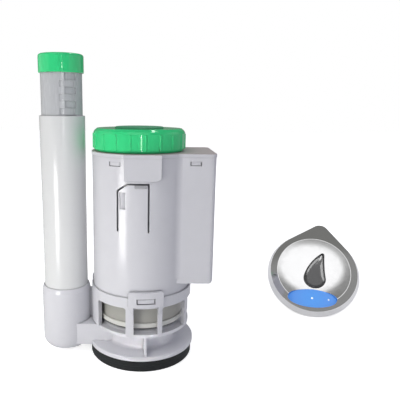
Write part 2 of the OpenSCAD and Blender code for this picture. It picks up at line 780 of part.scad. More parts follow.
module motor() {
    color(steel) translate([motor_face_x - motor_length, motor_y, motor_z]) rotate([0, 90, 0]) {
        difference() {
            cylinder(r = motor_r, h = motor_length - 1);
            translate([0, 0, motor_length - 3]) cylinder(r = 1.1, h = 4);
        }
        translate([0, 0, -1.6]) cylinder(r = 3, h = 1.7);
    }
}

module control_board() {
    x = plate_x - 5.2 - 1.6;
    y0 = -box_front + 6;
    y1 = box_rear - 6;
    z0 = box_z + 5;
    color([0.12, 0.42, 0.25]) difference() {
        translate([x, y0, z0]) cube([1.6, y1 - y0, 28]);
        for (y = [-box_front + 9, box_rear - 9], z = [box_z + 8, box_z + 30])
            translate([x - over, y, z]) rotate([0, 90, 0]) cylinder(r = 1.2, h = 4, $fn = 32);
    }
    color([0.15, 0.15, 0.16]) translate([x - 1.4, -4, z0 + 9]) cube([1.4, 10, 10]);
    color([0.85, 0.85, 0.8]) translate([x - 2.2, 15, z0 + 6]) cube([2.2, 8, 5]);
}

module cable_grommet() {
    y = box_rear - wall;
    color(rubber_black) translate([cable_x, y, housing_top - 22]) rotate([-90, 0, 0]) difference() {
        union() {
            translate([0, 0, -1.2]) cylinder(r = 6.6, h = 1.15);
            translate([0, 0, -0.2]) cylinder(r = 4.95, h = wall + 0.4);
            translate([0, 0, wall + 0.05]) cylinder(r1 = 6.6, r2 = 5, h = 2.2);
        }
        translate([0, 0, -2]) cylinder(r = 2, h = 10, $fn = 48);
    }
}

module frame_screws() {
    color(steel) {
        translate([-1.6, 0, 0]) frame_posts(inner_plate_x, inner_plate_x + 1.55, 2.6);
        frame_posts(inner_plate_x - 0.4, inner_plate_x + 7, 1.25);
    }
}

module overflow_tube() {
    color(tube_grey) translate([-overflow_x, 0, 0]) rotate_extrude() polygon([
        [overflow_r - tube_wall, tube_seat + slack], [overflow_r - 0.3, tube_seat + slack],
        [overflow_r, tube_seat + 1], [overflow_r, overflow_top - 0.4], [overflow_r - 0.4, overflow_top],
        [overflow_r - tube_wall + 0.3, overflow_top], [overflow_r - tube_wall, overflow_top - 0.4]]);
}

module tube_o_ring() {
    color(rubber_black) translate([-overflow_x, 0, socket_top - 13]) rotate_extrude()
        translate([overflow_r + 0.72, 0]) circle(r = 0.66, $fn = 24);
}

module plug_disc() {
    color([0.93, 0.93, 0.92]) difference() {
        translate([0, 0, plug_z]) rotate_extrude() polygon([[0, 0], [plug_r - 0.5, 0], [plug_r, 0.5],
            [plug_r, plug_h - 0.5], [plug_r - 0.5, plug_h], [0, plug_h]]);
        translate([0, 0, plug_z - over]) cylinder(r = stem_r + slack, h = plug_h + 2 * over);
    }
}

module plug_float() {
    color(plug_beige) difference() {
        translate([0, 0, plug_top]) rotate_extrude() polygon(concat([[0, 0], [float_r, 0]],
            arc([float_r - 2, float_h - 2], 2, 0, 90, 6), [[0, float_h]]));
        translate([0, 0, plug_top - over]) cylinder(r = float_r - float_wall, h = float_h - float_wall + over);
        translate([0, 0, float_top - 8]) cylinder(r = stem_r + slack, h = 10);
    }
}

module plug_stem() {
    groove_z = arm_z + arm_h + slack;
    color([0.9, 0.9, 0.9]) difference() {
        union() {
            translate([0, 0, pin_z]) cylinder(r1 = pin_r - 1, r2 = pin_r, h = 2);
            translate([0, 0, pin_z + 2]) cylinder(r = pin_r, h = plug_z - pin_z - 2);
            translate([0, 0, plug_z]) cylinder(r = stem_r, h = stem_top - plug_z - 1);
            translate([0, 0, stem_top - 1]) cylinder(r1 = stem_r, r2 = stem_r - 1, h = 1);
            translate([0, 0, plug_top]) cylinder(r = stem_r + 3, h = 3);
        }
        for (z = [arm_z - 1 - slack, groove_z]) translate([0, 0, z]) tube(stem_r + 2, stem_r - 1, 1);
    }
}

module seal_washer() {
    color([0.35, 0.35, 0.34]) translate([0, 0, seal_z]) tube(plug_r - 1.2, 20, seal_h - 0.02);
}

module seal_retainer() {
    color(body_grey) translate([0, 0, plug_z - 4]) difference() {
        union() {
            cylinder(r = neck_bore_r - 4, h = 4 - seal_h - 0.02);
            cylinder(r = 19.9, h = 3.98);
        }
        translate([0, 0, -over]) cylinder(r = pin_r + slack, h = 8);
    }
}

module lift_rack() {
    y0 = rack_pitch_y - 7;
    root = rack_pitch_y - 1.25 * rack_module;
    tip = rack_pitch_y + 0.95 * rack_module;
    pitch = PI * rack_module;
    slope = tan(20);
    half = pitch / 4 - 0.06;
    below = ceil((plug_lift + 8) / pitch);
    reach = norm([rack_x + rack_w / 2, (y0 + root) / 2]);
    turn = atan2((y0 + root) / 2, rack_x + rack_w / 2);
    top = output_z + 10;
    color([0.93, 0.93, 0.9]) difference() {
        union() {
            along_x(rack_x, 0, 0, rack_w) {
                translate([y0, arm_z]) square([root - y0, top - arm_z]);
                for (i = [-below:2]) translate([0, output_z + (i + 0.5) * pitch]) polygon([
                    [root - 0.1, -half - 1.25 * slope], [tip, -half + 0.95 * slope],
                    [tip, half - 0.95 * slope], [root - 0.1, half + 1.25 * slope]]);
            }
            rotate([0, 0, turn]) translate([stem_r, -4, arm_z]) cube([reach - stem_r, 8, arm_h]);
            rotate([0, 0, turn]) translate([stem_r + 4, -1, arm_z + arm_h - 1]) cube([reach - stem_r - 8, 2, 3.5]);
            translate([0, 0, arm_z]) cylinder(r = stem_r + 4, h = arm_h);
        }
        translate([0, 0, arm_z - over]) cylinder(r = stem_r + slack, h = arm_h + 5 * over);
    }
}

module stem_clips() {
    color(steel) for (z = [arm_z - 1 - slack / 2, arm_z + arm_h + 1.5 * slack]) translate([0, 0, z])
        difference() {
            tube(stem_r + 2.2, stem_r - 0.9, 0.8);
            translate([-1.8, 0, -over]) cube([3.6, 10, 3]);
        }
}

module gear_body(m, n, play, turn, w) {
    rotate(turn) linear_extrude(w) polygon(gear_points(m, n, play));
}

module on_axle(x, y, z) {
    translate([x, y, z]) rotate([90, 0, 90]) children();
}

module output_gear() {
    gear_x = rack_x + rack_w + 1;
    color([0.95, 0.95, 0.9]) on_axle(output_pinion_x, output_y, output_z) difference() {
        union() {
            gear_body(rack_module, output_teeth, 0.06, 180, gear_x - output_pinion_x + 0.5);
            translate([0, 0, gear_x - output_pinion_x])
                gear_body(second_module, output_gear_teeth, 0.05, idler_turn + 180 / output_gear_teeth, 4);
        }
        translate([0, 0, -over]) cylinder(r = axle_r + fit, h = 20, $fn = 48);
    }
}

module idler_gear() {
    pinion_x = rack_x + rack_w + 0.8;
    color([0.95, 0.95, 0.9]) on_axle(pinion_x, idler_y, idler_z) difference() {
        union() {
            gear_body(second_module, idler_pinion_teeth, 0.05, idler_turn + 180, 4.6);
            translate([0, 0, 4.4])
                gear_body(first_module, idler_gear_teeth, 0.05, motor_turn + 180 / idler_gear_teeth, 3);
        }
        translate([0, 0, -over]) cylinder(r = axle_r + fit, h = 20, $fn = 48);
    }
}

module motor_pinion() {
    color([0.85, 0.7, 0.35]) on_axle(motor_face_x - 2.5, motor_y, motor_z) {
        cylinder(r = 1, h = 4, $fn = 48);
        translate([0, 0, 2.9]) gear_body(first_module, motor_teeth, 0.05, motor_turn + 180, 3.4);
    }
}

module slider_tube() {
    color(tube_grey) translate([-overflow_x, 0, 0]) difference() {
        translate([0, 0, slider_z]) cylinder(r = slider_r, h = slider_length);
        translate([0, 0, slider_z - over]) cylinder(r = slider_bore_r, h = slider_length + 2 * over);
        for (z = [slider_z + first_notch:notch_pitch:collar_top - collar_h - notch_h]) translate([0, 0, z])
            ring_part(slider_r - notch_depth, slider_r + 2, notch_h, 35.5, 16.5);
        for (z = [slider_z + first_notch - notch_pitch / 2:notch_pitch:collar_top - collar_h - notch_h])
            translate([0, 0, z]) ring_part(slider_r - notch_depth / 2, slider_r + 2, notch_h, 25.5, 20.5);
    }
}

module overflow_collar() {
    r = 2;
    top = collar_h - r;
    color(lid_green) translate([-overflow_x, 0, collar_top - collar_h]) rotate_extrude() polygon(concat(
        [[slider_r + 0.02, 0], [collar_r - 0.4, 0], [collar_r, 0.4]],
        arc([collar_r - r, top], r, 0, 90, 6),
        [[slider_bore_r + 0.6, collar_h], [slider_bore_r, collar_h - 0.6], [slider_bore_r, collar_h - 1.98],
        [slider_r + 0.02, collar_h - 1.98]]));
}

module lid_o_ring() {
    color(rubber_black) translate([-lid_shift, 0, (thread_top + tub_flange_h + lid_ceiling) / 2])
        rotate_extrude() translate([(tub_r + thread_r) / 2, 0]) circle(
            r = (lid_ceiling - thread_top - tub_flange_h) / 2 - 0.15, $fn = 24);
}

module screw_lid() {
    rib_r = 1.2;
    side_r = lid_r - 0.6;
    floor_z = well_z - well_floor_h;
    well_r = disc_r + gap;
    color(lid_green) translate([-lid_shift, 0, 0]) {
        difference() {
            union() {
                translate([0, 0, lid_z]) rotate_extrude() polygon([[0, 0], [side_r - 1.3, 0], [side_r, lid_foot],
                    [side_r, lid_h - lid_chamfer], [side_r - 0.9, lid_h - lid_chamfer / 2], [side_r - 3, lid_h],
                    [0, lid_h]]);
                for (k = [0:grip_ribs - 1]) rotate([0, 0, (k + 0.5) * 360 / grip_ribs])
                    translate([lid_r - rib_r, 0, lid_z + lid_foot])
                        cylinder(r = rib_r, h = lid_h - lid_chamfer - lid_foot - 0.5, $fn = 32);
            }
            translate([0, 0, lid_z - over]) cylinder(r = thread_r + gap, h = lid_ceiling - lid_z + over);
            translate([0, 0, well_z]) cylinder(r = well_r, h = 20);
        }
        difference() {
            translate([0, 0, floor_z]) cylinder(r = well_r + 1.8, h = lid_ceiling + 0.5 - floor_z);
            translate([0, 0, well_z]) cylinder(r = well_r, h = 20);
            translate([0, 0, floor_z - over]) cylinder(r = disc_stem_r + fit, h = 10);
        }
    }
}

module push_disc() {
    color([0.2, 0.74, 0.46]) translate([-lid_shift, 0, 0]) {
        difference() {
            translate([0, 0, disc_z]) rotate_extrude() polygon(concat([[0, 0], [disc_r, 0]],
                arc([disc_r - 1, disc_top - disc_z - 1], 1, 0, 90, 5), [[0, disc_top - disc_z]]));
            translate([0, 0, disc_z - over]) cylinder(r = disc_r - 1.6, h = over + 1.6);
        }
        translate([0, 0, disc_stem_z]) cylinder(r = disc_stem_r, h = disc_z + 2 - disc_stem_z);
    }
}

module disc_spring() {
    free = disc_z + 1.6 - well_z - 0.1;
    turns = 4;
    wire = 0.35;
    color(steel) translate([-lid_shift, 0, well_z + 0.05]) {
        for (i = [0:turns - 1]) translate([0, 0, wire + i * (free - 2 * wire) / (turns - 1)]) rotate_extrude()
            translate([9, 0]) circle(r = wire, $fn = 16);
        for (i = [0:turns - 2]) rotate([0, 0, 180 * i]) translate([9, 0, wire + i * (free - 2 * wire) / (turns - 1)])
            cylinder(r = 0.9 * wire, h = (free - 2 * wire) / (turns - 1), $fn = 16);
    }
}

// Outline of the sensor plate: a round part and a small tip joined by tangents
module plate_outline(grow) {
    swing = acos((plate_r - tip_r) / tip_reach);
    circle(r = plate_r + grow);
    translate([0, tip_reach]) circle(r = tip_r + grow);
    polygon([for (s = [-1, 1]) (plate_r + grow) * [s * sin(swing), cos(swing)],
        for (s = [1, -1]) [0, tip_reach] + (tip_r + grow) * [s * sin(swing), cos(swing)]]);
}

// Window in the shape of a drop with its tip bent to one side
module drop_outline(grow) {
    u = drop_h / 42;
    polygon(concat(
        arc(u * [2.7, -7], u * 11.4 + grow, 180, 365, 24),
        arc(u * [179.9, 42.2], u * 172.6 - grow, 196, 186.8, 6),
        arc(u * [6.5, 21.6], u * 1.9 + grow, 8, 134, 6),
        arc(u * [38.7, -10.8], u * 47.6 + grow, 134.8, 175, 12)));
}

module dish_cut() {
    ball = (pow(dish_r, 2) + pow(dish_depth, 2)) / (2 * dish_depth);
    translate([0, 0, plate_h - dish_depth + ball]) sphere(r = ball, $fn = 128);
}

module lens_shape(grow) {
    translate([lens_u, lens_v]) rotate(lens_turn) scale([1, (lens_b + grow) / (lens_a + grow)])
        circle(r = lens_a + grow);
}

module sensor_plate() {
    rim_w = 0.4;
    color([0.8, 0.8, 0.8]) at_sensor() difference() {
        hull() {
            linear_extrude(1.6) plate_outline(plate_flare, $fn = 72);
            translate([0, 0, 3.2]) linear_extrude(0.4) plate_outline(plate_flare - 0.8, $fn = 72);
            translate([0, 0, plate_h - 3.4]) linear_extrude(0.4) plate_outline(0.2, $fn = 72);
            translate([0, 0, plate_h - 0.4]) linear_extrude(0.4) plate_outline(-0.6, $fn = 72);
        }
        difference() {
            cylinder(r = 2 * plate_r, h = 2 * plate_h);
            translate([0, 0, plate_h - sqrt(pow(crown_r, 2) - pow(dish_r + rim_w, 2))])
                sphere(r = crown_r, $fn = 160);
        }
        dish_cut();
        translate([0, 0, -over]) cylinder(r = back_r - 4, h = plate_recess + over);
        linear_extrude(20) drop_outline(-1.4);
        translate([0, 0, window_ledge]) linear_extrude(20) drop_outline(slack);
        translate([0, 0, lens_floor]) linear_extrude(20) lens_shape(gap);
    }
}

module sensor_window() {
    window_top_z = plate_h - dish_depth + 1.6;
    color([0.36, 0.36, 0.36]) at_sensor() translate([0, 0, window_ledge + slack / 2])
        linear_extrude(window_top_z - window_ledge) drop_outline(0);
}

module sensor_back() {
    color([0.3, 0.31, 0.32]) at_sensor() difference() {
        union() {
            translate([0, 0, -back_h]) cylinder(r = back_r, h = back_h - 0.05);
            translate([0, 0, -sensor_stem_length]) cylinder(r = sensor_stem_r, h = sensor_stem_length + nut_z - gap);
            translate([0, 0, nut_z - over]) cylinder(r = shank_r, h = -nut_z - 2 + over);
            translate([0, 0, -1]) cylinder(r = back_r - 4.2, h = plate_recess + 0.8);
        }
        translate([0, 0, -back_h + 2]) cylinder(r = back_r - 6, h = back_h + 2);
        translate([0, 0, -sensor_stem_length - over]) cylinder(r = sensor_stem_r - 3, h = sensor_stem_length);
    }
}

module sensor_board() {
    color([0.12, 0.42, 0.25]) at_sensor() translate([0, 0, -3]) difference() {
        cylinder(r = back_r - 6.2, h = 1.6);
        for (s = [-1, 1]) translate([s * 21, 8, -over]) cylinder(r = 1.3, h = 4, $fn = 32);
    }
    color([0.15, 0.15, 0.16]) at_sensor() translate([-3, -4, -1.4]) cube([12, 12, 2]);
}

module sensor_nut() {
    color(body_grey) at_sensor() translate([0, 0, nut_z]) difference() {
        cylinder(r = nut_r, h = nut_h, $fn = 6);
        translate([0, 0, -over]) cylinder(r = shank_r + slack, h = nut_h + 2 * over);
    }
}

module sensor_washer() {
    color(rubber_black) at_sensor() translate([0, 0, -back_h - 0.05 - washer_h])
        tube(washer_r, shank_r + slack, washer_h);
}

module sensor_grommet() {
    color(rubber_black) at_sensor() translate([0, 0, -sensor_stem_length + 1]) difference() {
        cylinder(r = sensor_stem_r - 3.05, h = 6);
        translate([0, 0, -over]) cylinder(r = 2, h = 8, $fn = 48);
    }
}

module sensor_button() {
    dome_r = 120;
    color([0.32, 0.64, 0.98]) at_sensor() intersection() {
        translate([0, 0, lens_floor + button_travel + gap]) linear_extrude(20) lens_shape(0);
        translate([lens_u, lens_v, lens_top - dome_r]) sphere(r = dome_r, $fn = 128);
    }
}

module button_spring() {
    h = button_travel + gap - slack;
    color(steel) at_sensor() translate([lens_u, lens_v, lens_floor + slack / 2]) rotate([0, 0, lens_turn])
        for (x = [-12, 12]) translate([x, 0, 0]) {
            tube(3, 2.5, 0.3);
            translate([0, 0, h - 0.3]) tube(3, 2.5, 0.3);
            for (s = [-1, 1]) translate([2.75 * s, 0, 0]) cylinder(r = 0.22, h = h, $fn = 16);
        }
}

base_gasket();
valve_base();
latch_cage();
housing();
top_cover();
stem_guide();
battery_tub();
battery_cells();
contact_carrier();
contact_springs();
manual_switch();
drive_frame();
gear_axles();
motor();
control_board();
cable_grommet();
frame_screws();
overflow_tube();
tube_o_ring();
plug_disc();
plug_float();
plug_stem();
seal_washer();
seal_retainer();
lift_rack();
stem_clips();
output_gear();
idler_gear();
motor_pinion();
slider_tube();
overflow_collar();
lid_o_ring();
screw_lid();
push_disc();
disc_spring();
sensor_plate();
sensor_window();
sensor_back();
sensor_board();
sensor_nut();
sensor_washer();
sensor_grommet();
sensor_button();
button_spring();
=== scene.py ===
"""Studio picture of an automatic flush valve and its drop-shaped hand sensor.

The solids come packed from the CAD work. This file gives them their finishes and adds the threads,
mould seams, screws and small parts that only the picture needs. Lengths are in metres.
"""

import json
import math

import bmesh
import bpy
from mathutils import Matrix, Vector


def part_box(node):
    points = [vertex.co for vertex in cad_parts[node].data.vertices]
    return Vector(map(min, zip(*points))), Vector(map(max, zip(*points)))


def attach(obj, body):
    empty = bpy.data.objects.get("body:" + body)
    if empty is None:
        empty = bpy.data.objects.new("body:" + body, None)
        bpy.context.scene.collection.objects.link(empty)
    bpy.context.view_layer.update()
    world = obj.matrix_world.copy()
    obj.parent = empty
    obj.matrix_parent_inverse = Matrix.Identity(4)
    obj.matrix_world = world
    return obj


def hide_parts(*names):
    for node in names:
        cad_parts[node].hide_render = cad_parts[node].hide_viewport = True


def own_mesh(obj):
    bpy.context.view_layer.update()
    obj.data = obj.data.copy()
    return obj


bl_info = {
    "name": "Flush Valve Studio",
    "version": (1, 0, 0),
    "blender": (4, 5, 0),
    "location": "3D View > Sidebar > Flush Valve",
    "description": "Finishes, threads and small parts for the packed flush valve",
    "category": "Object",
}

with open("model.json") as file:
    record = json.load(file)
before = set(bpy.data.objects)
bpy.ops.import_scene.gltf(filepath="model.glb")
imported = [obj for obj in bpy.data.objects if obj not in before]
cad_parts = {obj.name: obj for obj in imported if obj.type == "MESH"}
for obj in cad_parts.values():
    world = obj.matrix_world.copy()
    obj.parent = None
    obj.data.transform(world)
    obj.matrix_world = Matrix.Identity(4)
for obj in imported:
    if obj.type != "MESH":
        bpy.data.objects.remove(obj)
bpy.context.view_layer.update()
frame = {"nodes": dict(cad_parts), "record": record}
MM = 0.001
FINISHES = {}   # every finish by name, once flush.finishes has run
LAMPS = {}      # every lamp by name, once flush.stage has run


def linear(code):
    """An sRGB hex colour as linear red, green and blue."""
    parts = [int(code[i:i + 2], 16) / 255 for i in (1, 3, 5)]
    return tuple(v / 12.92 if v <= 0.04045 else ((v + 0.055) / 1.055) ** 2.4 for v in parts)


def colour(name, code, words):
    """A colour that a user may change."""
    return bpy.props.FloatVectorProperty(
        name=name, description=words, default=linear(code), size=3, min=0, max=1, subtype="COLOR")


def length(name, value_mm, words):
    """A length that a user may change."""
    return bpy.props.FloatProperty(
        name=name, description=words, default=value_mm * MM, min=0, unit="LENGTH", subtype="DISTANCE")


def add_node(tree, kind, settings=None, links=None):
    """Adds a shader node, sets its properties or input values, and links what feeds it."""
    made = tree.nodes.new(kind)
    for key, value in (settings or {}).items():
        if isinstance(key, int) or key in made.inputs:
            made.inputs[key].default_value = value
        else:
            setattr(made, key, value)
    for key, source in (links or {}).items():
        tree.links.new(source, made.inputs[key])
    return made


class ValveColours(bpy.types.PropertyGroup):
    """Colours of the moulded and plated pieces."""

    body: colour("Body", "#D8D8DD", "Light grey ABS of housing, base and cage")
    tube: colour("Tube", "#DFE0E0", "Light grey of the overflow tube")
    inner_tube: colour("Inner tube", "#C2C4C7", "Matt grey of the sliding tube")
    lid: colour("Lid", "#38E38D", "Green ABS of the screw lid and the collar")
    # The disc's green is set darker than the lid's, partly as painted shade.
    disc: colour("Disc", "#4DA77A", "Satin green of the push disc")
    gasket: colour("Gasket", "#1B1E1F", "Black rubber of the gasket")
    float_cup: colour("Float cup", "#B0AFA8", "Natural polypropylene of the float cup")
    acetal: colour("Acetal", "#DADAD4", "White acetal of plug, gears and guide")
    chrome: colour("Chrome", "#EDEDEE", "Bright chrome of the sensor plate")
    window: colour("Window", "#4A4A4B", "Smoked window of the sensor")
    lens: colour("Lens", "#5A9CF4", "Blue lens of the sensor's button")


class ValveSizes(bpy.types.PropertyGroup):
    """Sizes of the small parts that are modelled here."""

    lid_thread_radius: length("Lid thread radius", 36.4, "Radius of the neck that carries the lid's thread")
    lid_thread_pitch: length("Lid thread pitch", 6.0, "Rise of the lid in one turn")
    thread_ridge: length("Thread ridge", 0.24, "Height of the lid thread's ridge")
    stem_radius: length("Stem radius", 12.0, "Radius of the sensor's stem")
    stem_pitch: length("Stem pitch", 2.0, "Pitch of the sensor stem's thread")
    glow_dot_radius: length("Lamp radius", 1.1, "Radius of an indicator lamp in the blue lens")


def colours():
    """The colours as the user has them."""
    return bpy.context.scene.valve_colours


def sizes():
    """The sizes as the user has them."""
    return bpy.context.scene.valve_sizes


# Places on the sensor

SENSOR_TILT = math.radians(49)          # from lying flat
SENSOR_TURN = math.radians(-15)         # about the vertical
SENSOR_ROLL = math.radians(-8)          # on its round rim
SENSOR_RIM = 0.048                      # radius of the rim that it stands on
SENSOR_AT = Vector((0.187, 0.0936, SENSOR_RIM * math.sin(SENSOR_TILT)))
# From the sensor's own frame, with its plate facing +Z, to the place where it stands.
SENSOR = (Matrix.Translation(SENSOR_AT) @ Matrix.Rotation(SENSOR_TURN, 4, "Z")
          @ Matrix.Rotation(SENSOR_TILT, 4, "X") @ Matrix.Rotation(SENSOR_ROLL, 4, "Z"))
LENS_AT = Vector((3.4, -30.6, 9.6)) * MM    # top of the blue lens, in the sensor's frame
LENS_TURN = math.radians(9)
LENS_DOME = 120.0       # radius of the lens's face, mm
LENS_DEPTH = 7.35 * MM  # from the top of the lens down to its springs' floor


# Finishes

CORNER = 2.5 * MM       # how far from a corner the painted shade reaches


def finish(name, base, shade, rough, mottle, grain, depth, stretch=(1, 1, 1), round_edge=0.35, corner_shade=0.6,
           **surface):
    """A mottled, finely grained surface.

    base and shade are the two colours of the mottle, rough is the range of the roughness, mottle and grain
    are feature sizes and depth the height of the grain in millimetres, stretch squeezes the pattern along an
    axis, round_edge is the radius that light sees on sharp edges, and corner_shade is how much colour is
    left in corners, where it is darkened as painted shade.
    """
    material = bpy.data.materials.new(name)
    material.use_nodes = True
    tree = material.node_tree
    tree.nodes.clear()
    place = add_node(tree, "ShaderNodeTexCoord").outputs["Object"]
    pattern = add_node(tree, "ShaderNodeMapping", {"Scale": stretch}, {"Vector": place}).outputs["Vector"]
    cloud = add_node(tree, "ShaderNodeTexNoise", {
        "Scale": 1 / (mottle * MM), "Detail": 4.0, "Roughness": 0.55}, {"Vector": pattern}).outputs["Fac"]
    fine = add_node(tree, "ShaderNodeTexNoise", {
        "Scale": 1 / (grain * MM), "Detail": 2.0, "Roughness": 0.5}, {"Vector": pattern}).outputs["Fac"]
    tint = add_node(tree, "ShaderNodeMixRGB", {"Color1": (*base, 1), "Color2": (*shade, 1)}, {"Fac": cloud})
    gloss = add_node(tree, "ShaderNodeMapRange", {
        "From Min": 0.3, "From Max": 0.7, "To Min": rough[0], "To Max": rough[1]}, {"Value": fine})
    # Painted shade: ambient occlusion darkens the colour in corners and recesses, where shade falls.
    nook = add_node(tree, "ShaderNodeAmbientOcclusion", {"samples": 8, "Distance": CORNER})
    shade_share = add_node(tree, "ShaderNodeMapRange", {
        "From Min": 0.3, "From Max": 0.85, "To Min": corner_shade, "To Max": 1.0}, {"Value": nook.outputs["AO"]})
    worn = add_node(tree, "ShaderNodeVectorMath", {"operation": "SCALE"},
                    {0: tint.outputs["Color"], "Scale": shade_share.outputs["Result"]})
    edge = add_node(tree, "ShaderNodeBevel", {"samples": 4, "Radius": round_edge * MM})
    relief = add_node(tree, "ShaderNodeBump", {"Distance": depth * MM, "Strength": 1.0},
                      {"Height": fine, "Normal": edge.outputs["Normal"]})
    shader = add_node(tree, "ShaderNodeBsdfPrincipled", surface, {
        "Base Color": worn.outputs["Vector"], "Roughness": gloss.outputs["Result"],
        "Normal": relief.outputs["Normal"]})
    add_node(tree, "ShaderNodeOutputMaterial", None, {"Surface": shader.outputs["BSDF"]})
    return material


def darker(tone, share):
    """A colour times a share."""
    return tuple(v * share for v in tone)


def shared(material, mask, tone):
    """Mixes another colour into a finish where the mask is 1."""
    tree = material.node_tree
    shader = tree.nodes["Principled BSDF"]
    before = shader.inputs["Base Color"].links[0].from_socket
    mixed = add_node(tree, "ShaderNodeMixRGB", {"Color2": (*tone, 1)}, {"Fac": mask, "Color1": before})
    tree.links.new(mixed.outputs["Color"], shader.inputs["Base Color"])


def height_mask(material, low, high):
    """1 above the height high, 0 below low."""
    tree = material.node_tree
    place = add_node(tree, "ShaderNodeTexCoord").outputs["Object"]
    up = add_node(tree, "ShaderNodeSeparateXYZ", None, {"Vector": place}).outputs["Z"]
    return add_node(tree, "ShaderNodeMapRange", {
        "From Min": low, "From Max": high}, {"Value": up}).outputs[0]


def near_mask(material, at, near, far):
    """1 closer to the place at than near, falling to 0 at far."""
    tree = material.node_tree
    place = add_node(tree, "ShaderNodeTexCoord").outputs["Object"]
    away = add_node(tree, "ShaderNodeVectorMath", {"operation": "DISTANCE", 1: tuple(at)},
                    {0: place}).outputs["Value"]
    return add_node(tree, "ShaderNodeMapRange", {
        "interpolation_type": "SMOOTHSTEP", "From Min": near, "From Max": far, "To Min": 1.0, "To Max": 0.0},
        {"Value": away}).outputs[0]


def make_finishes():
    """All finishes by name, each from its real material and the way its surface was made, with painted shade
    and glow where their comments say so.
    """
    c = colours()
    made = {}
    # The grain of eroded, ground and rubber surfaces is too fine to show, so it is drawn far coarser.

    # Injection moulded ABS: glossy, with the faint waviness of a polished mould.
    made["grey_abs"] = finish(
        "moulded_abs_grey", c.body, darker(c.body, 0.94), rough=(0.16, 0.24), mottle=14, grain=2.6,
        depth=0.012, IOR=1.54)
    # The cover plate is moulded in the same ABS, with an eroded top that the low IOR keeps dull.
    made["satin_cover"] = finish(
        "satin_abs_grey", c.body, darker(c.body, 0.94), rough=(0.5, 0.62), mottle=8, grain=0.5, depth=0.02,
        IOR=1.2)
    cover_thick = 2.7 * MM
    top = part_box("housing")[1].z + cover_thick
    # Painted shade: the top face is tinted darker, as little light falls on it from above.
    shared(made["satin_cover"], height_mask(made["satin_cover"], top - 0.25 * MM, top - 0.1 * MM),
           linear("#BDB4B3"))
    # The grip of the snap tongue is eroded coarser, so it is dull, and its colour is darkened as painted
    # shade under the lip.
    made["worn_grip"] = finish(
        "eroded_shaded_abs_grey", darker(c.body, 0.68), darker(c.body, 0.6), rough=(0.5, 0.65), mottle=3,
        grain=0.5, depth=0.04, IOR=1.35)
    # Extruded tube: glossy, with fine lines drawn along it by the die.
    made["grey_tube"] = finish(
        "extruded_tube_grey", c.tube, darker(c.tube, 0.95), rough=(0.14, 0.2), mottle=9, grain=1.6,
        depth=0.008, stretch=(1, 1, 0.08), IOR=1.54)
    # The sliding tube is rubbed matt by its guide, streaked along its travel.
    made["rubbed_tube"] = finish(
        "rubbed_tube_grey", c.inner_tube, darker(c.inner_tube, 0.9), rough=(0.2, 0.3), mottle=6, grain=1.1,
        depth=0.01, stretch=(1, 1, 0.1), corner_shade=0.85, IOR=1.54)
    # Green ABS: deep even colour with a bright gloss.
    made["green_abs"] = finish(
        "moulded_abs_green", c.lid, darker(c.lid, 0.93), rough=(0.07, 0.11), mottle=11, grain=2.2,
        depth=0.006, IOR=1.46)
    # The push disc has a fine spark-eroded texture, so it looks greyer than the lid; its colour is also set
    # darker than the lid's as painted shade.
    made["textured_disc"] = finish(
        "eroded_abs_green", c.disc, darker(c.disc, 0.88), rough=(0.42, 0.55), mottle=3, grain=0.5,
        depth=0.05, IOR=1.54)
    # Moulded rubber: near black, dull, with a dusty bloom.
    made["gasket_rubber"] = finish(
        "moulded_rubber_black", c.gasket, darker(c.gasket, 1.5), rough=(0.56, 0.7), mottle=7, grain=0.6,
        depth=0.04, IOR=1.35)
    made["black_rubber"] = finish(
        "small_rubber_black", linear("#1D1D1F"), linear("#2B2B2D"), rough=(0.5, 0.65), mottle=4, grain=0.4,
        depth=0.02, IOR=1.52)
    # Grey silicone: an even grey with a soft sheen.
    made["silicone"] = finish(
        "pressed_silicone_grey", linear("#6B6B69"), linear("#5C5C5A"), rough=(0.38, 0.5), mottle=5,
        grain=0.5, depth=0.02, IOR=1.43)
    # Natural polypropylene: waxy and a little uneven in colour.
    made["beige_pp"] = finish(
        "moulded_pp_natural", c.float_cup, darker(c.float_cup, 0.86), rough=(0.34, 0.46), mottle=10,
        grain=1.4, depth=0.02, IOR=1.49)
    # White acetal: smooth, milky, low sheen.
    made["white_acetal"] = finish(
        "moulded_acetal_white", c.acetal, darker(c.acetal, 0.95), rough=(0.28, 0.38), mottle=6, grain=0.9,
        depth=0.01, IOR=1.48)
    # Spring steel and axles: ground along their length.
    made["steel"] = finish(
        "ground_steel", linear("#B9BABC"), linear("#8E8F92"), rough=(0.22, 0.38), mottle=2, grain=0.3,
        depth=0.006, stretch=(0.2, 1, 1), Metallic=1.0)
    # Turned brass of the motor's pinion.
    made["brass"] = finish(
        "turned_brass", linear("#D8B566"), linear("#A98843"), rough=(0.2, 0.34), mottle=2, grain=0.25,
        depth=0.006, stretch=(1, 0.2, 0.2), Metallic=1.0)
    # Battery jackets: a glossy film shrunk over steel.
    made["cell_jacket"] = finish(
        "plain_cell_jacket", linear("#7E8388"), linear("#6B6F74"), rough=(0.2, 0.3), mottle=12, grain=1.0,
        depth=0.005, Metallic=0.5)
    # Solder mask over copper: glossy green with the traces showing as mottle.
    made["circuit_board"] = finish(
        "solder_mask_green", linear("#1E6B3C"), linear("#123F25"), rough=(0.18, 0.3), mottle=2.2, grain=0.8,
        depth=0.02, IOR=1.5)
    # Black glass-filled plastic of inner pieces and the sensor's back.
    made["dark_plastic"] = finish(
        "glass_filled_black", linear("#2C2C30"), linear("#3B3B40"), rough=(0.4, 0.52), mottle=4, grain=0.5,
        depth=0.03, IOR=1.55)
    # Bright chrome over ABS: a mirror with very faint waves and wiping marks.
    made["chrome_plate"] = finish(
        "bright_chrome", c.chrome, darker(c.chrome, 0.95), rough=(0.09, 0.15), mottle=16, grain=5,
        depth=0.004, round_edge=0.1, corner_shade=1.0, Metallic=1.0)
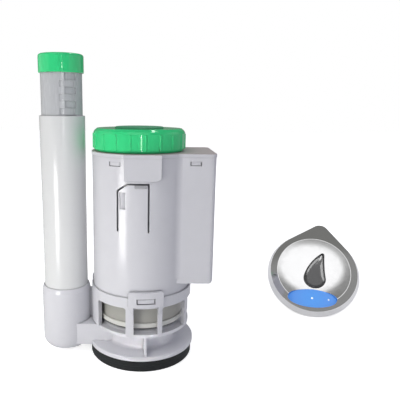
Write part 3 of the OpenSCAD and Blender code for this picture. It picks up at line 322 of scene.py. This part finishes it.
    # Smoked polycarbonate: polished, dark and glossy.
    made["smoked_window"] = finish(
        "smoked_polycarbonate", c.window, darker(c.window, 0.8), rough=(0.1, 0.16), mottle=8, grain=3,
        depth=0.006, round_edge=0.9, IOR=1.58)
    made["smoked_window"].node_tree.nodes["Principled BSDF"].inputs["Coat Weight"].default_value = 0.6
    # Blue acrylic lens: glossy, with a painted glow, and a lighter blue painted round the first lamp as its
    # pool of light.
    made["blue_lens"] = finish(
        "blue_acrylic", c.lens, darker(c.lens, 0.9), rough=(0.05, 0.1), mottle=9, grain=4, depth=0.006,
        round_edge=0.5, corner_shade=1.0, IOR=1.49)
    painted_glow = made["blue_lens"].node_tree.nodes["Principled BSDF"].inputs
    painted_glow["Emission Color"].default_value = (*c.lens, 1)
    painted_glow["Emission Strength"].default_value = 0.26
    # Painted light: a lighter blue round the first lamp.
    shared(made["blue_lens"], near_mask(made["blue_lens"], SENSOR @ LENS_AT, 2 * MM, 24 * MM),
           linear("#50A2F8"))
    # Cool white dots under the lens with a painted glow; the second one stands for a painted highlight.
    made["lamp"] = finish(
        "white_lamp", linear("#F6FAFF"), linear("#E4F0FF"), rough=(0.2, 0.3), mottle=2, grain=0.4,
        depth=0.004, IOR=1.5)
    lamp = made["lamp"].node_tree.nodes["Principled BSDF"].inputs
    lamp["Emission Color"].default_value = (*linear("#E7F6FF"), 1)
    lamp["Emission Strength"].default_value = 0.5
    return made


# Solids whose surface differs from the rest of their material slot.
OWN_FINISH = {"slider_tube": "rubbed_tube", "push_disc": "textured_disc", "top_cover": "satin_cover"}


class FLUSH_OT_finishes(bpy.types.Operator):
    """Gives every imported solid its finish"""

    bl_idname = "flush.finishes"
    bl_label = "Finish the solids"

    def execute(self, context):
        FINISHES.update(make_finishes())
        slots = {row["node"]: row["material_slot"] for row in frame["record"]["subparts"]}
        for name, obj in frame["nodes"].items():
            obj.data.materials.clear()
            obj.data.materials.append(FINISHES[OWN_FINISH.get(name, slots[name])])
        return {"FINISHED"}


# Tools for the pieces


def rest():
    """Object mode with nothing selected."""
    if bpy.context.object and bpy.context.object.mode != "OBJECT":
        bpy.ops.object.mode_set(mode="OBJECT")
    bpy.ops.object.select_all(action="DESELECT")


def keep(name, body, look, move=None):
    """Finishes the active piece: its place goes into its mesh, and it gets its name, look and body."""
    obj = bpy.context.object
    if obj.mode != "OBJECT":
        bpy.ops.object.mode_set(mode="OBJECT")
    bpy.ops.object.select_all(action="DESELECT")
    obj.select_set(True)
    if move is not None:
        obj.matrix_world = move @ obj.matrix_world
    bpy.ops.object.transform_apply(location=True, rotation=True, scale=True)
    obj.name = obj.data.name = name
    obj.data.materials.clear()
    obj.data.materials.append(FINISHES[look])
    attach(obj, body)
    return obj


def close_and_mend():
    """In edit mode: closes the open ends, merges doubles and points the faces outwards."""
    bpy.ops.mesh.select_all(action="SELECT")
    bpy.ops.mesh.remove_doubles(threshold=1e-6)
    bpy.ops.mesh.select_all(action="DESELECT")
    bpy.ops.mesh.select_non_manifold(extend=False)
    bpy.ops.mesh.fill_holes(sides=0)
    bpy.ops.mesh.select_all(action="SELECT")
    bpy.ops.mesh.normals_make_consistent(inside=False)
    bpy.ops.object.mode_set(mode="OBJECT")


def wind_up(obj, pitch, turns, steps):
    """Winds an open outline up round Z and closes its two ends."""
    wind = obj.modifiers.new("wind", "SCREW")
    wind.axis, wind.angle, wind.screw_offset = "Z", 2 * math.pi, pitch
    wind.iterations, wind.steps, wind.render_steps = turns, steps, steps
    wind.use_smooth_shade = False
    bpy.ops.object.modifier_apply(modifier=wind.name)
    bpy.ops.object.mode_set(mode="EDIT")
    close_and_mend()


CREST = 0.28    # half width of a thread's crest, as a share of its foot's width
SUNK = 0.3 * MM     # how deep the foot of a thread sits in its stem


def helix(radius, ridge, pitch, turns, width, start, steps):
    """A tapered ridge wound round Z.

    width is that of its foot, ridge how far it stands out, and start the height of the foot's middle.
    """
    rest()
    bpy.ops.mesh.primitive_plane_add(size=1, location=(0, 0, 0), rotation=(math.pi / 2, 0, 0))
    obj = bpy.context.object
    bpy.ops.object.transform_apply(location=True, rotation=True, scale=True)
    bpy.ops.object.mode_set(mode="EDIT")
    mesh = bmesh.from_edit_mesh(obj.data)
    for v in mesh.verts:
        outer, up = v.co.x > 0, v.co.z > 0
        half = width * (CREST if outer else 0.5)
        v.co = (radius + (ridge if outer else -SUNK), 0, start + (half if up else -half))
    bmesh.ops.delete(mesh, geom=mesh.faces[:], context="FACES_ONLY")
    bmesh.update_edit_mesh(obj.data)
    bpy.ops.object.mode_set(mode="OBJECT")
    wind_up(obj, pitch, turns, steps)


def turned(outline, start, end, steps):
    """A piece spun round Z between two angles, from a closed outline of radius and height in millimetres."""
    rest()
    bpy.ops.mesh.primitive_circle_add(vertices=len(outline), radius=1 * MM, fill_type="NGON")
    obj = bpy.context.object
    first = math.radians(start)
    for vert, (radius, up) in zip(obj.data.vertices, outline):
        vert.co = (radius * math.cos(first) * MM, radius * math.sin(first) * MM, up * MM)
    bpy.ops.object.mode_set(mode="EDIT")
    bpy.ops.mesh.select_all(action="SELECT")
    if end - start == 360:
        bpy.ops.mesh.delete(type="ONLY_FACE")
        bpy.ops.mesh.select_all(action="SELECT")
    bpy.ops.mesh.spin(steps=steps, angle=math.radians(end - start), center=(0, 0, 0), axis=(0, 0, 1))
    close_and_mend()


def coil_spring(name, body, radius, wire, height, turns, centres, move):
    """Round wire wound round each centre, standing on Z = 0 before it is moved; wire is its radius."""
    coils = []
    for x in centres:
        rest()
        bpy.ops.mesh.primitive_circle_add(vertices=10, radius=wire, location=(radius, 0, wire),
                                          rotation=(math.pi / 2, 0, 0))
        coil = bpy.context.object
        bpy.ops.object.transform_apply(location=True, rotation=True, scale=True)
        wind_up(coil, (height - 2 * wire) / turns, turns, 32)
        bpy.ops.object.shade_smooth()
        coil.location.x = x
        coils.append(coil)
    bpy.ops.object.select_all(action="DESELECT")
    for coil in coils:
        coil.select_set(True)
    if len(coils) > 1:
        bpy.ops.object.join()
    bpy.context.view_layer.update()     # the place of a lone coil has just changed
    return keep(name, body, "steel", move)


BUTTON_SPRING = 1.7 * MM        # free height


class FLUSH_OT_springs(bpy.types.Operator):
    """Winds the springs under the push disc and the button, at their free height"""

    bl_idname = "flush.springs"
    bl_label = "Return springs"

    def execute(self, context):
        low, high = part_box("disc_spring")
        foot = Vector(((low.x + high.x) / 2, (low.y + high.y) / 2, low.z))
        free = high.z - low.z
        obj = coil_spring("disc_coil", "lid", radius=9 * MM, wire=0.35 * MM, height=free, turns=4,
                          centres=(0.0,), move=Matrix.Translation(foot))
        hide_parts("disc_spring")
        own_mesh(obj)
        under = (SENSOR @ Matrix.Translation(LENS_AT - Vector((0, 0, LENS_DEPTH)))
                 @ Matrix.Rotation(LENS_TURN, 4, "Z"))
        obj = coil_spring("button_coils", "valve", radius=2.75 * MM, wire=0.2 * MM, height=BUTTON_SPRING,
                          turns=3, centres=(-12 * MM, 12 * MM), move=under)
        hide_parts("button_spring")
        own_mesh(obj)
        return {"FINISHED"}


# The lip as radius and height, and the ramp as seen from above, in millimetres on the body.
LIP = ((42.1, 153.3), (42.3, 153.3), (43.7, 155.2), (43.7, 155.9), (42.1, 155.9))
RAMP = ((-16.66, -38.25), (-14.7, -39.1), (-12.14, -38.9), (-14.4, -38.2), (-16.66, -37.2))
RAMP_FOOT, RAMP_TALL = 136.65, 13.3


class FLUSH_OT_tongue(bpy.types.Operator):
    """Gives the snap tongue its finger lip and the ramp in its pocket"""

    bl_idname = "flush.tongue"
    bl_label = "Tongue details"

    def execute(self, context):
        turned(LIP, start=-83.8, end=-71.2, steps=12)
        keep("finger_lip", "valve", "worn_grip")
        rest()
        bpy.ops.mesh.primitive_circle_add(vertices=len(RAMP), radius=1 * MM, fill_type="NGON")
        for vert, (x, y) in zip(bpy.context.object.data.vertices, RAMP):
            vert.co = (x * MM, y * MM, RAMP_FOOT * MM)
        bpy.ops.object.mode_set(mode="EDIT")
        bpy.ops.mesh.select_all(action="SELECT")
        bpy.ops.mesh.extrude_region_move(TRANSFORM_OT_translate={"value": (0, 0, RAMP_TALL * MM)})
        bpy.ops.mesh.select_all(action="SELECT")
        bpy.ops.mesh.normals_make_consistent(inside=False)
        keep("pocket_ramp", "valve", "satin_cover")
        return {"FINISHED"}


# The seam as radius and height in millimetres: the gasket is 90 across and 10.2 thick.
SEAM = ((44.7, 4.6), (45.0, 4.7), (45.16, 5.0), (45.0, 5.3), (44.7, 5.4))


class FLUSH_OT_rubber(bpy.types.Operator):
    """Adds the gasket's parting line and the rings of the cable grommet"""

    bl_idname = "flush.rubber"
    bl_label = "Rubber details"

    def execute(self, context):
        turned(SEAM, start=0, end=360, steps=128)
        keep("gasket_parting_line", "valve", "gasket_rubber")
        low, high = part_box("cable_grommet")
        middle, radius = (low + high) / 2, (high.z - low.z) / 2 / MM
        for i in range(2):
            outer = radius - 1.2 - i    # each ring is 1 mm smaller than the one before
            turned(((outer - 1.4, 0.0), (outer, 0.2), (outer, 1.3), (outer - 0.4, 1.6), (outer - 1.4, 1.6)),
                   start=0, end=360, steps=48)
            keep(f"grommet_ring_{i + 1}", "valve", "black_rubber",
                 Matrix.Translation((middle.x, high.y + (1.7 * i - 0.1) * MM, middle.z))
                 @ Matrix.Rotation(math.radians(-90), 4, "X"))
        return {"FINISHED"}


LID_X = -2.5 * MM       # the lid's axis, from the valve's


class FLUSH_OT_lid_thread(bpy.types.Operator):
    """Winds the thread round the neck under the lid"""

    bl_idname = "flush.lid_thread"
    bl_label = "Lid thread"

    def execute(self, context):
        s = sizes()
        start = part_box("top_cover")[0].z + 16.5 * MM
        helix(s.lid_thread_radius, s.thread_ridge, s.lid_thread_pitch, turns=1, width=2.2 * MM, start=start,
              steps=96)
        keep("lid_thread", "valve", "grey_abs", Matrix.Translation((LID_X, 0, 0)))
        return {"FINISHED"}


class FLUSH_OT_stem_thread(bpy.types.Operator):
    """Winds the fixing thread round the sensor's stem, below its nut"""

    bl_idname = "flush.stem_thread"
    bl_label = "Stem thread"

    def execute(self, context):
        s = sizes()
        helix(s.stem_radius, 0.35 * MM, s.stem_pitch, turns=7, width=1.5 * MM, start=-37.5 * MM, steps=64)
        keep("stem_thread", "valve", "dark_plastic", SENSOR)
        return {"FINISHED"}


# How far along the lens each glowing dot is, in mm, and its size against the first one's.
LENS_GLOW_DOTS = ((0.0, 1.0), (16.5, 0.8))
LAMP_FLAT, LAMP_SUNK = 0.3, 0.05        # its height against its width, and how far it is sunk in, mm


class FLUSH_OT_lamps(bpy.types.Operator):
    """Sets two white dots with a painted glow into the blue lens"""

    bl_idname = "flush.lamps"
    bl_label = "Indicator lamps"

    def execute(self, context):
        radius = sizes().glow_dot_radius
        for i, (x, share) in enumerate(LENS_GLOW_DOTS):
            rest()
            bpy.ops.mesh.primitive_uv_sphere_add(segments=24, ring_count=12, radius=radius * share)
            obj = bpy.context.object
            bpy.ops.object.mode_set(mode="EDIT")
            bpy.ops.mesh.select_all(action="SELECT")
            bpy.ops.transform.resize(value=(1, 1, LAMP_FLAT))
            bpy.ops.object.mode_set(mode="OBJECT")
            bpy.ops.object.shade_smooth()
            sag = x * x / (2 * LENS_DOME)
            obj.location = LENS_AT + Vector((
                x * math.cos(LENS_TURN), x * math.sin(LENS_TURN), -sag - LAMP_SUNK)) * MM
            bpy.context.view_layer.update()
            keep(f"lens_lamp_{i + 1}", "sensor_button", "lamp", SENSOR)
        return {"FINISHED"}


# Arcs of the drop's outline in the sensor's frame: centre and radius in mm, first and last angle, steps.
DROP_ARCS = (((2.7, -7.0), 11.4, 180, 365, 36), ((179.9, 42.2), 172.6, 196, 186.8, 16),
             ((6.5, 21.6), 1.9, 8, 134, 8), ((38.7, -10.8), 47.6, 134.8, 175, 24))
DROP_FOOT, DROP_TOP = 2.45 * MM, 8.2 * MM      # heights of its foot and its top
DROP_RISE = 2.0 * MM        # how much of its height is rounded
DROP_RINGS = 12             # steps of the rounding
DROP_FLAT = 0.15            # size of the flat middle, as a share of the outline
DROP_MIDDLE = Vector((3.0, -4.0, 0)) * MM


class FLUSH_OT_window(bpy.types.Operator):
    """Makes the drop-shaped window with a rounded, pillowed face"""

    bl_idname = "flush.window"
    bl_label = "Drop window"

    def execute(self, context):
        rim = []
        for (cx, cy), radius, start, end, steps in DROP_ARCS:
            for i in range(steps + 1):
                turn = math.radians(start + (end - start) * i / steps)
                rim.append(Vector((cx + radius * math.cos(turn), cy + radius * math.sin(turn))) * MM)
        rest()
        bpy.ops.mesh.primitive_circle_add(vertices=len(rim), radius=1 * MM, fill_type="NOTHING")
        for vert, spot in zip(bpy.context.object.data.vertices, rim):
            vert.co = (spot.x, spot.y, DROP_FOOT)
        bpy.ops.object.mode_set(mode="EDIT")
        bpy.ops.mesh.select_all(action="SELECT")
        bpy.ops.mesh.remove_doubles(threshold=0.05 * MM)    # where two arcs meet
        wall = DROP_TOP - DROP_FOOT - DROP_RISE
        bpy.ops.mesh.extrude_region_move(TRANSFORM_OT_translate={"value": (0, 0, wall)})
        share, up = 1.0, 0.0
        for i in range(1, DROP_RINGS + 1):
            turn = math.radians(90 * i / DROP_RINGS)
            climb = DROP_RISE * (math.sin(turn) - up)
            bpy.ops.mesh.extrude_region_move(TRANSFORM_OT_translate={"value": (0, 0, climb)})
            narrow = DROP_FLAT + (1 - DROP_FLAT) * math.cos(turn)
            bpy.ops.transform.resize(value=(narrow / share, narrow / share, 1), center_override=DROP_MIDDLE)
            share, up = narrow, math.sin(turn)
        bpy.ops.mesh.edge_face_add()
        close_and_mend()
        bpy.ops.object.shade_smooth_by_angle(angle=math.radians(50))
        obj = keep("drop_window", "valve", "smoked_window", SENSOR)
        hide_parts("sensor_window")
        return {"FINISHED"}


SCREW_CIRCLE = 28       # radius of the circle that the screws stand on, mm
SCREW_SEAT = -11.95     # height of their seats in the sensor's frame, mm
SCREW_HEAD = 2.6 * MM   # radius of a head
HEAD_FLAT = 0.4         # its height against its radius
CROSS_BAR = (3.0 * MM, 0.55 * MM, 1.2 * MM)     # cutter of one bar of the cross
CROSS_DEEP = -1.1 * MM  # the cutter's middle


class FLUSH_OT_back_screws(bpy.types.Operator):
    """Drives three cross-head screws into the sensor's back"""

    bl_idname = "flush.back_screws"
    bl_label = "Sensor screws"

    def execute(self, context):
        for i in range(3):
            around = math.radians(90 + 120 * i)
            rest()
            bpy.ops.mesh.primitive_uv_sphere_add(segments=32, ring_count=16, radius=SCREW_HEAD)
            obj = bpy.context.object
            bpy.ops.object.mode_set(mode="EDIT")
            bpy.ops.mesh.select_all(action="SELECT")
            bpy.ops.transform.resize(value=(1, 1, HEAD_FLAT))
            bpy.ops.mesh.bisect(plane_co=(0, 0, 0), plane_no=(0, 0, 1), clear_outer=True, use_fill=True)
            bpy.ops.object.mode_set(mode="OBJECT")
            bpy.ops.object.shade_smooth_by_angle(angle=math.radians(40))
            for turn in (0.3, 0.3 + math.pi / 2):
                bpy.ops.object.select_all(action="DESELECT")
                bpy.ops.mesh.primitive_cube_add(size=1, location=(0, 0, CROSS_DEEP), rotation=(0, 0, turn))
                bar = bpy.context.object
                bar.scale = CROSS_BAR
                cut = obj.modifiers.new("slot", "BOOLEAN")
                cut.object, cut.operation, cut.solver = bar, "DIFFERENCE", "EXACT"
                bpy.context.view_layer.objects.active = obj
                bpy.ops.object.modifier_apply(modifier=cut.name)
                bpy.data.objects.remove(bar)
            obj.select_set(True)
            obj.location = Vector((
                SCREW_CIRCLE * math.cos(around), SCREW_CIRCLE * math.sin(around), SCREW_SEAT)) * MM
            bpy.context.view_layer.update()
            keep(f"back_screw_{i + 1}", "valve", "steel", SENSOR)
        return {"FINISHED"}


# Lamps that light only some pieces (INCLUDE), or all but some (EXCLUDE).
REACH = (
    (("strip", "spark"), ("sensor_plate", "sensor_button"), "EXCLUDE"),
    (("drop_left", "drop_right"), ("drop_window",), "INCLUDE"),
    (("low",), ("valve_base",), "INCLUDE"),
    (("tubes",), ("overflow_tube", "slider_tube"), "INCLUDE"),
)


class FLUSH_OT_reach(bpy.types.Operator):
    """Keeps the small lamps off the pieces that they aren't for"""

    bl_idname = "flush.reach"
    bl_label = "Reach of the lamps"

    def execute(self, context):
        for lamps, names, state in REACH:
            for lamp in lamps:
                group = bpy.data.collections.new(f"reach_of_{lamp}")
                for name in names:
                    group.objects.link(bpy.data.objects[name])
                LAMPS[lamp].light_linking.receiver_collection = group
                for row in group.collection_objects:
                    row.light_linking.link_state = state
        return {"FINISHED"}


AIM = Vector((-0.03, 0, 0.1))       # near the middle of the valve
# Every lamp: its place, what it points at, its two sides, watts, colour, the spread of its beam in degrees,
# and whether it gives diffuse light (d), highlights (g) or both.
LAMP_ROWS = {
    "key": ((-0.21, -0.25, 0.07), AIM, (0.09, 0.13), 0.345, (1, 0.99, 0.96), 180, "dg"),
    "strip": ((0.04, -0.40, 0.215), AIM, (0.008, 0.15), 0.16, (1, 1, 1), 180, "g"),
    "spark": ((0.19, 0.0, 0.66), AIM, (0.14, 0.12), 0.75, (1, 1, 1), 180, "g"),
    "drop_left": ((0.085, 0.06, 0.38), SENSOR_AT, (0.09, 0.12), 0.17, (1, 1, 1), 180, "g"),
    "drop_right": ((0.335, -0.075, 0.318), SENSOR_AT, (0.1, 0.12), 0.17, (1, 1, 1), 180, "g"),
    "low": ((-0.03, -0.32, 0.02), (0, -0.03, 0.022), (0.05, 0.01), 0.0028, (1, 1, 1), 14, "d"),
    "tubes": ((0.16, -0.34, 0.34), (-0.065, 0, 0.2), (0.1, 0.1), 0.09, (1, 1, 1), 180, "d"),
    "top": ((-0.5, -0.6, 1.1), AIM, (0.9, 0.7), 5.0, (1, 1, 1), 180, "d"),
    "fill": ((0.9, -0.7, 0.5), AIM, (0.6, 0.6), 0.9, (0.9, 0.9, 1.0), 180, "d"),
    "rear": ((0.3, 1.1, 0.8), AIM, (0.9, 0.9), 4.5, (0.97, 0.98, 1), 180, "d"),
}
GLOW = 0.75             # light that the floor gives of its own where the camera sees it
GLOW_MIRRORED = 0.3     # share of it that shows in reflections
# The studio's bright oval panel, as the part of a mirrored ray's direction along each axis.
PANEL_X, PANEL_Y = -0.015, -0.475
PANEL_HALF_X, PANEL_HALF_Y = 0.375, 0.285
# The camera of the photograph, fitted to 37 of its features.
CAMERA_AT = (0.00748, -0.3969, 0.21458)
CAMERA_PITCH, CAMERA_ROLL = 11.13, 0.546
FOCAL_LENGTH, FILM_WIDTH, SHIFT = 42.03, 36, 0.1236


class FLUSH_OT_stage(bpy.types.Operator):
    """Sets up the floor, the light and the camera"""

    bl_idname = "flush.stage"
    bl_label = "Stage"

    def execute(self, context):
        self.floor()
        self.world()
        self.lights()
        self.camera()
        return {"FINISHED"}

    def floor(self):
        """A pale floor that turns white where no shadow falls on it."""
        rest()
        bpy.ops.mesh.primitive_plane_add(size=8, location=(0, 0, -0.0002))
        obj = bpy.context.object
        obj.name = "studio_floor"
        material = bpy.data.materials.new("white_paper")
        material.use_nodes = True
        tree = material.node_tree
        tree.nodes.clear()
        ray = add_node(tree, "ShaderNodeLightPath")
        mirrored = add_node(tree, "ShaderNodeMath", {"operation": "MAXIMUM"},
                            {0: ray.outputs["Is Glossy Ray"], 1: ray.outputs["Is Transmission Ray"]})
        dim = add_node(tree, "ShaderNodeMath", {"operation": "MULTIPLY", 1: GLOW_MIRRORED},
                       {0: mirrored.outputs[0]})
        seen = add_node(tree, "ShaderNodeMath", {"operation": "MAXIMUM"},
                        {0: ray.outputs["Is Camera Ray"], 1: dim.outputs[0]})
        place = add_node(tree, "ShaderNodeTexCoord").outputs["Object"]
        fibre = add_node(tree, "ShaderNodeTexNoise", {"Scale": 400.0, "Detail": 3.0}, {"Vector": place})
        tint = add_node(tree, "ShaderNodeMixRGB", {
            "Color1": (*linear("#EFEFF0"), 1), "Color2": (*linear("#E7E7E8"), 1)},
            {"Fac": fibre.outputs["Fac"]})
        paper = add_node(tree, "ShaderNodeBsdfDiffuse", None, {"Color": tint.outputs["Color"]})
        lift = add_node(tree, "ShaderNodeMath", {"operation": "MULTIPLY", 1: GLOW}, {0: seen.outputs[0]})
        white = add_node(tree, "ShaderNodeEmission", None, {"Strength": lift.outputs[0]})
        both = add_node(tree, "ShaderNodeAddShader", None, {0: paper.outputs[0], 1: white.outputs[0]})
        add_node(tree, "ShaderNodeOutputMaterial", None, {"Surface": both.outputs[0]})
        obj.data.materials.append(material)

    def world(self):
        """White behind the object; in its reflections a grey room with one oval panel above the front."""
        world = bpy.data.worlds.new("studio")
        bpy.context.scene.world = world
        world.use_nodes = True
        tree = world.node_tree
        tree.nodes.clear()
        ray = add_node(tree, "ShaderNodeLightPath")
        mirror = add_node(tree, "ShaderNodeMath", {"operation": "MAXIMUM"},
                          {0: ray.outputs["Is Glossy Ray"], 1: ray.outputs["Is Transmission Ray"]})
        way = add_node(tree, "ShaderNodeTexCoord").outputs["Generated"]
        split = add_node(tree, "ShaderNodeSeparateXYZ", None, {"Vector": way})

        def beyond(axis, near, far):
            """A share that climbs from 0 to 1 as a direction's part along an axis goes from near to far."""
            return add_node(tree, "ShaderNodeMapRange", {
                "interpolation_type": "SMOOTHSTEP", "From Min": near, "From Max": far},
                {"Value": split.outputs[axis]}).outputs[0]

        def from_panel(axis, centre, half):
            """How far a direction is from the panel's centre along an axis, in half widths of the panel."""
            return add_node(tree, "ShaderNodeMath", {
                "operation": "MULTIPLY_ADD", 1: 1 / half, 2: -centre / half},
                {0: split.outputs[axis]}).outputs[0]

        spot = add_node(tree, "ShaderNodeCombineXYZ", None, {
            "X": from_panel("X", PANEL_X, PANEL_HALF_X), "Y": from_panel("Y", PANEL_Y, PANEL_HALF_Y)})
        away = add_node(tree, "ShaderNodeVectorMath", {"operation": "LENGTH"}, {0: spot.outputs[0]})
        oval = add_node(tree, "ShaderNodeMapRange", {"interpolation_type": "SMOOTHSTEP", "From Min": 1.12,
                        "From Max": 0.9}, {"Value": away.outputs["Value"]}).outputs[0]
        # The panel ends a little above the horizon.
        panel = add_node(tree, "ShaderNodeMath", {"operation": "MULTIPLY"}, {
            0: oval, 1: beyond("Z", 0.2, 0.3)}).outputs[0]
        # Grey walls, paler towards the camera, and a white one far out on each side.
        grey = add_node(tree, "ShaderNodeMixRGB", {
            "Color1": (0.205, 0.205, 0.196, 1), "Color2": (0.29, 0.29, 0.285, 1)},
            {"Fac": beyond("Y", 0.0, -0.2)})
        sides = add_node(tree, "ShaderNodeMath", {"operation": "ADD"}, {0: beyond("X", -0.7, -0.85),
                         1: beyond("X", 0.7, 0.85)})
        lined = add_node(tree, "ShaderNodeMixRGB", {"Color2": (0.95, 0.95, 0.95, 1)},
                         {"Fac": sides.outputs[0], "Color1": grey.outputs["Color"]})
        walls = add_node(tree, "ShaderNodeMixRGB", {"Color2": (1.2, 1.2, 1.2, 1)},
                         {"Fac": panel, "Color1": lined.outputs["Color"]})
        # The soft light from all round is warm on the left and cool on the right.
        cast = add_node(tree, "ShaderNodeMixRGB", {
            "Color1": (0.965, 0.955, 0.92, 1), "Color2": (0.84, 0.855, 1.0, 1)},
            {"Fac": beyond("X", -0.7, 0.7)})
        soft = add_node(tree, "ShaderNodeBackground", {"Strength": 0.37}, {"Color": cast.outputs["Color"]})
        room = add_node(tree, "ShaderNodeBackground", {"Strength": 1.0}, {"Color": walls.outputs["Color"]})
        white = add_node(tree, "ShaderNodeBackground", {"Color": (1, 1, 1, 1), "Strength": 1.0})
        lit = add_node(tree, "ShaderNodeMixShader", None, {
            0: mirror.outputs[0], 1: soft.outputs[0], 2: room.outputs[0]})
        shown = add_node(tree, "ShaderNodeMixShader", None, {
            0: ray.outputs["Is Camera Ray"], 1: lit.outputs[0], 2: white.outputs[0]})
        add_node(tree, "ShaderNodeOutputWorld", None, {"Surface": shown.outputs[0]})

    def lights(self):
        """A key light on the left and soft ones all round.

        strip and spark give only narrow highlights, which the mirror-bright plate would show as blots. REACH
        keeps them off it, and keeps drop_left, drop_right, low and tubes to the pieces that they are for.
        """
        for name, (at, target, size, power, tone, spread, kinds) in LAMP_ROWS.items():
            rest()
            bpy.ops.object.light_add(type="AREA", location=at)
            lamp = bpy.context.object
            lamp.name = f"light_{name}"
            lamp.data.shape, lamp.data.size, lamp.data.size_y = "RECTANGLE", *size
            lamp.data.energy, lamp.data.color, lamp.data.spread = power, tone, math.radians(spread)
            lamp.rotation_euler = (Vector(target) - Vector(at)).to_track_quat("-Z", "Y").to_euler()
            lamp.visible_camera = False
            lamp.visible_diffuse, lamp.visible_glossy = "d" in kinds, "g" in kinds
            LAMPS[name] = lamp

    def camera(self):
        """The photograph's own view."""
        rest()
        bpy.ops.object.camera_add(location=CAMERA_AT)
        cam = bpy.context.object
        cam.name = "studio_camera"
        turn = (Matrix.Rotation(math.radians(90 - CAMERA_PITCH), 4, "X")
                @ Matrix.Rotation(math.radians(CAMERA_ROLL), 4, "Z"))
        cam.rotation_euler = turn.to_euler()
        cam.data.sensor_width, cam.data.lens, cam.data.shift_x = FILM_WIDTH, FOCAL_LENGTH, SHIFT
        cam.data.clip_start, cam.data.clip_end = 0.01, 20
        bpy.context.scene.camera = cam


class FLUSH_PT_panel(bpy.types.Panel):
    """Lists the steps of the picture in order"""

    bl_label = "Flush Valve"
    bl_idname = "FLUSH_PT_panel"
    bl_space_type = "VIEW_3D"
    bl_region_type = "UI"
    bl_category = "Flush Valve"

    def draw(self, context):
        for group in (context.scene.valve_colours, context.scene.valve_sizes):
            for key in group.__annotations__:
                self.layout.prop(group, key)
        for step in STEPS:
            self.layout.operator(step.bl_idname)


# The operators in the order in which they run.
STEPS = (FLUSH_OT_stage, FLUSH_OT_finishes, FLUSH_OT_lid_thread, FLUSH_OT_stem_thread, FLUSH_OT_lamps,
         FLUSH_OT_window, FLUSH_OT_back_screws, FLUSH_OT_springs, FLUSH_OT_tongue, FLUSH_OT_rubber,
         FLUSH_OT_reach)
CLASSES = (ValveColours, ValveSizes, *STEPS, FLUSH_PT_panel)


def register():
    """Makes the classes known to Blender, and puts the colours and sizes on the scene."""
    for cls in CLASSES:
        bpy.utils.register_class(cls)
    bpy.types.Scene.valve_colours = bpy.props.PointerProperty(type=ValveColours)
    bpy.types.Scene.valve_sizes = bpy.props.PointerProperty(type=ValveSizes)


def unregister():
    """Takes them away again."""
    del bpy.types.Scene.valve_sizes
    del bpy.types.Scene.valve_colours
    for cls in reversed(CLASSES):
        bpy.utils.unregister_class(cls)


def main():
    """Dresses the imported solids."""
    register()
    bpy.context.scene.view_settings.view_transform = "Standard"
    bpy.ops.flush.stage()
    bpy.ops.flush.finishes()
    bpy.ops.flush.lid_thread()
    bpy.ops.flush.stem_thread()
    bpy.ops.flush.lamps()
    bpy.ops.flush.window()
    bpy.ops.flush.back_screws()
    bpy.ops.flush.springs()
    bpy.ops.flush.tongue()
    bpy.ops.flush.rubber()
    bpy.ops.flush.reach()


if __name__ == "__main__":
    main()
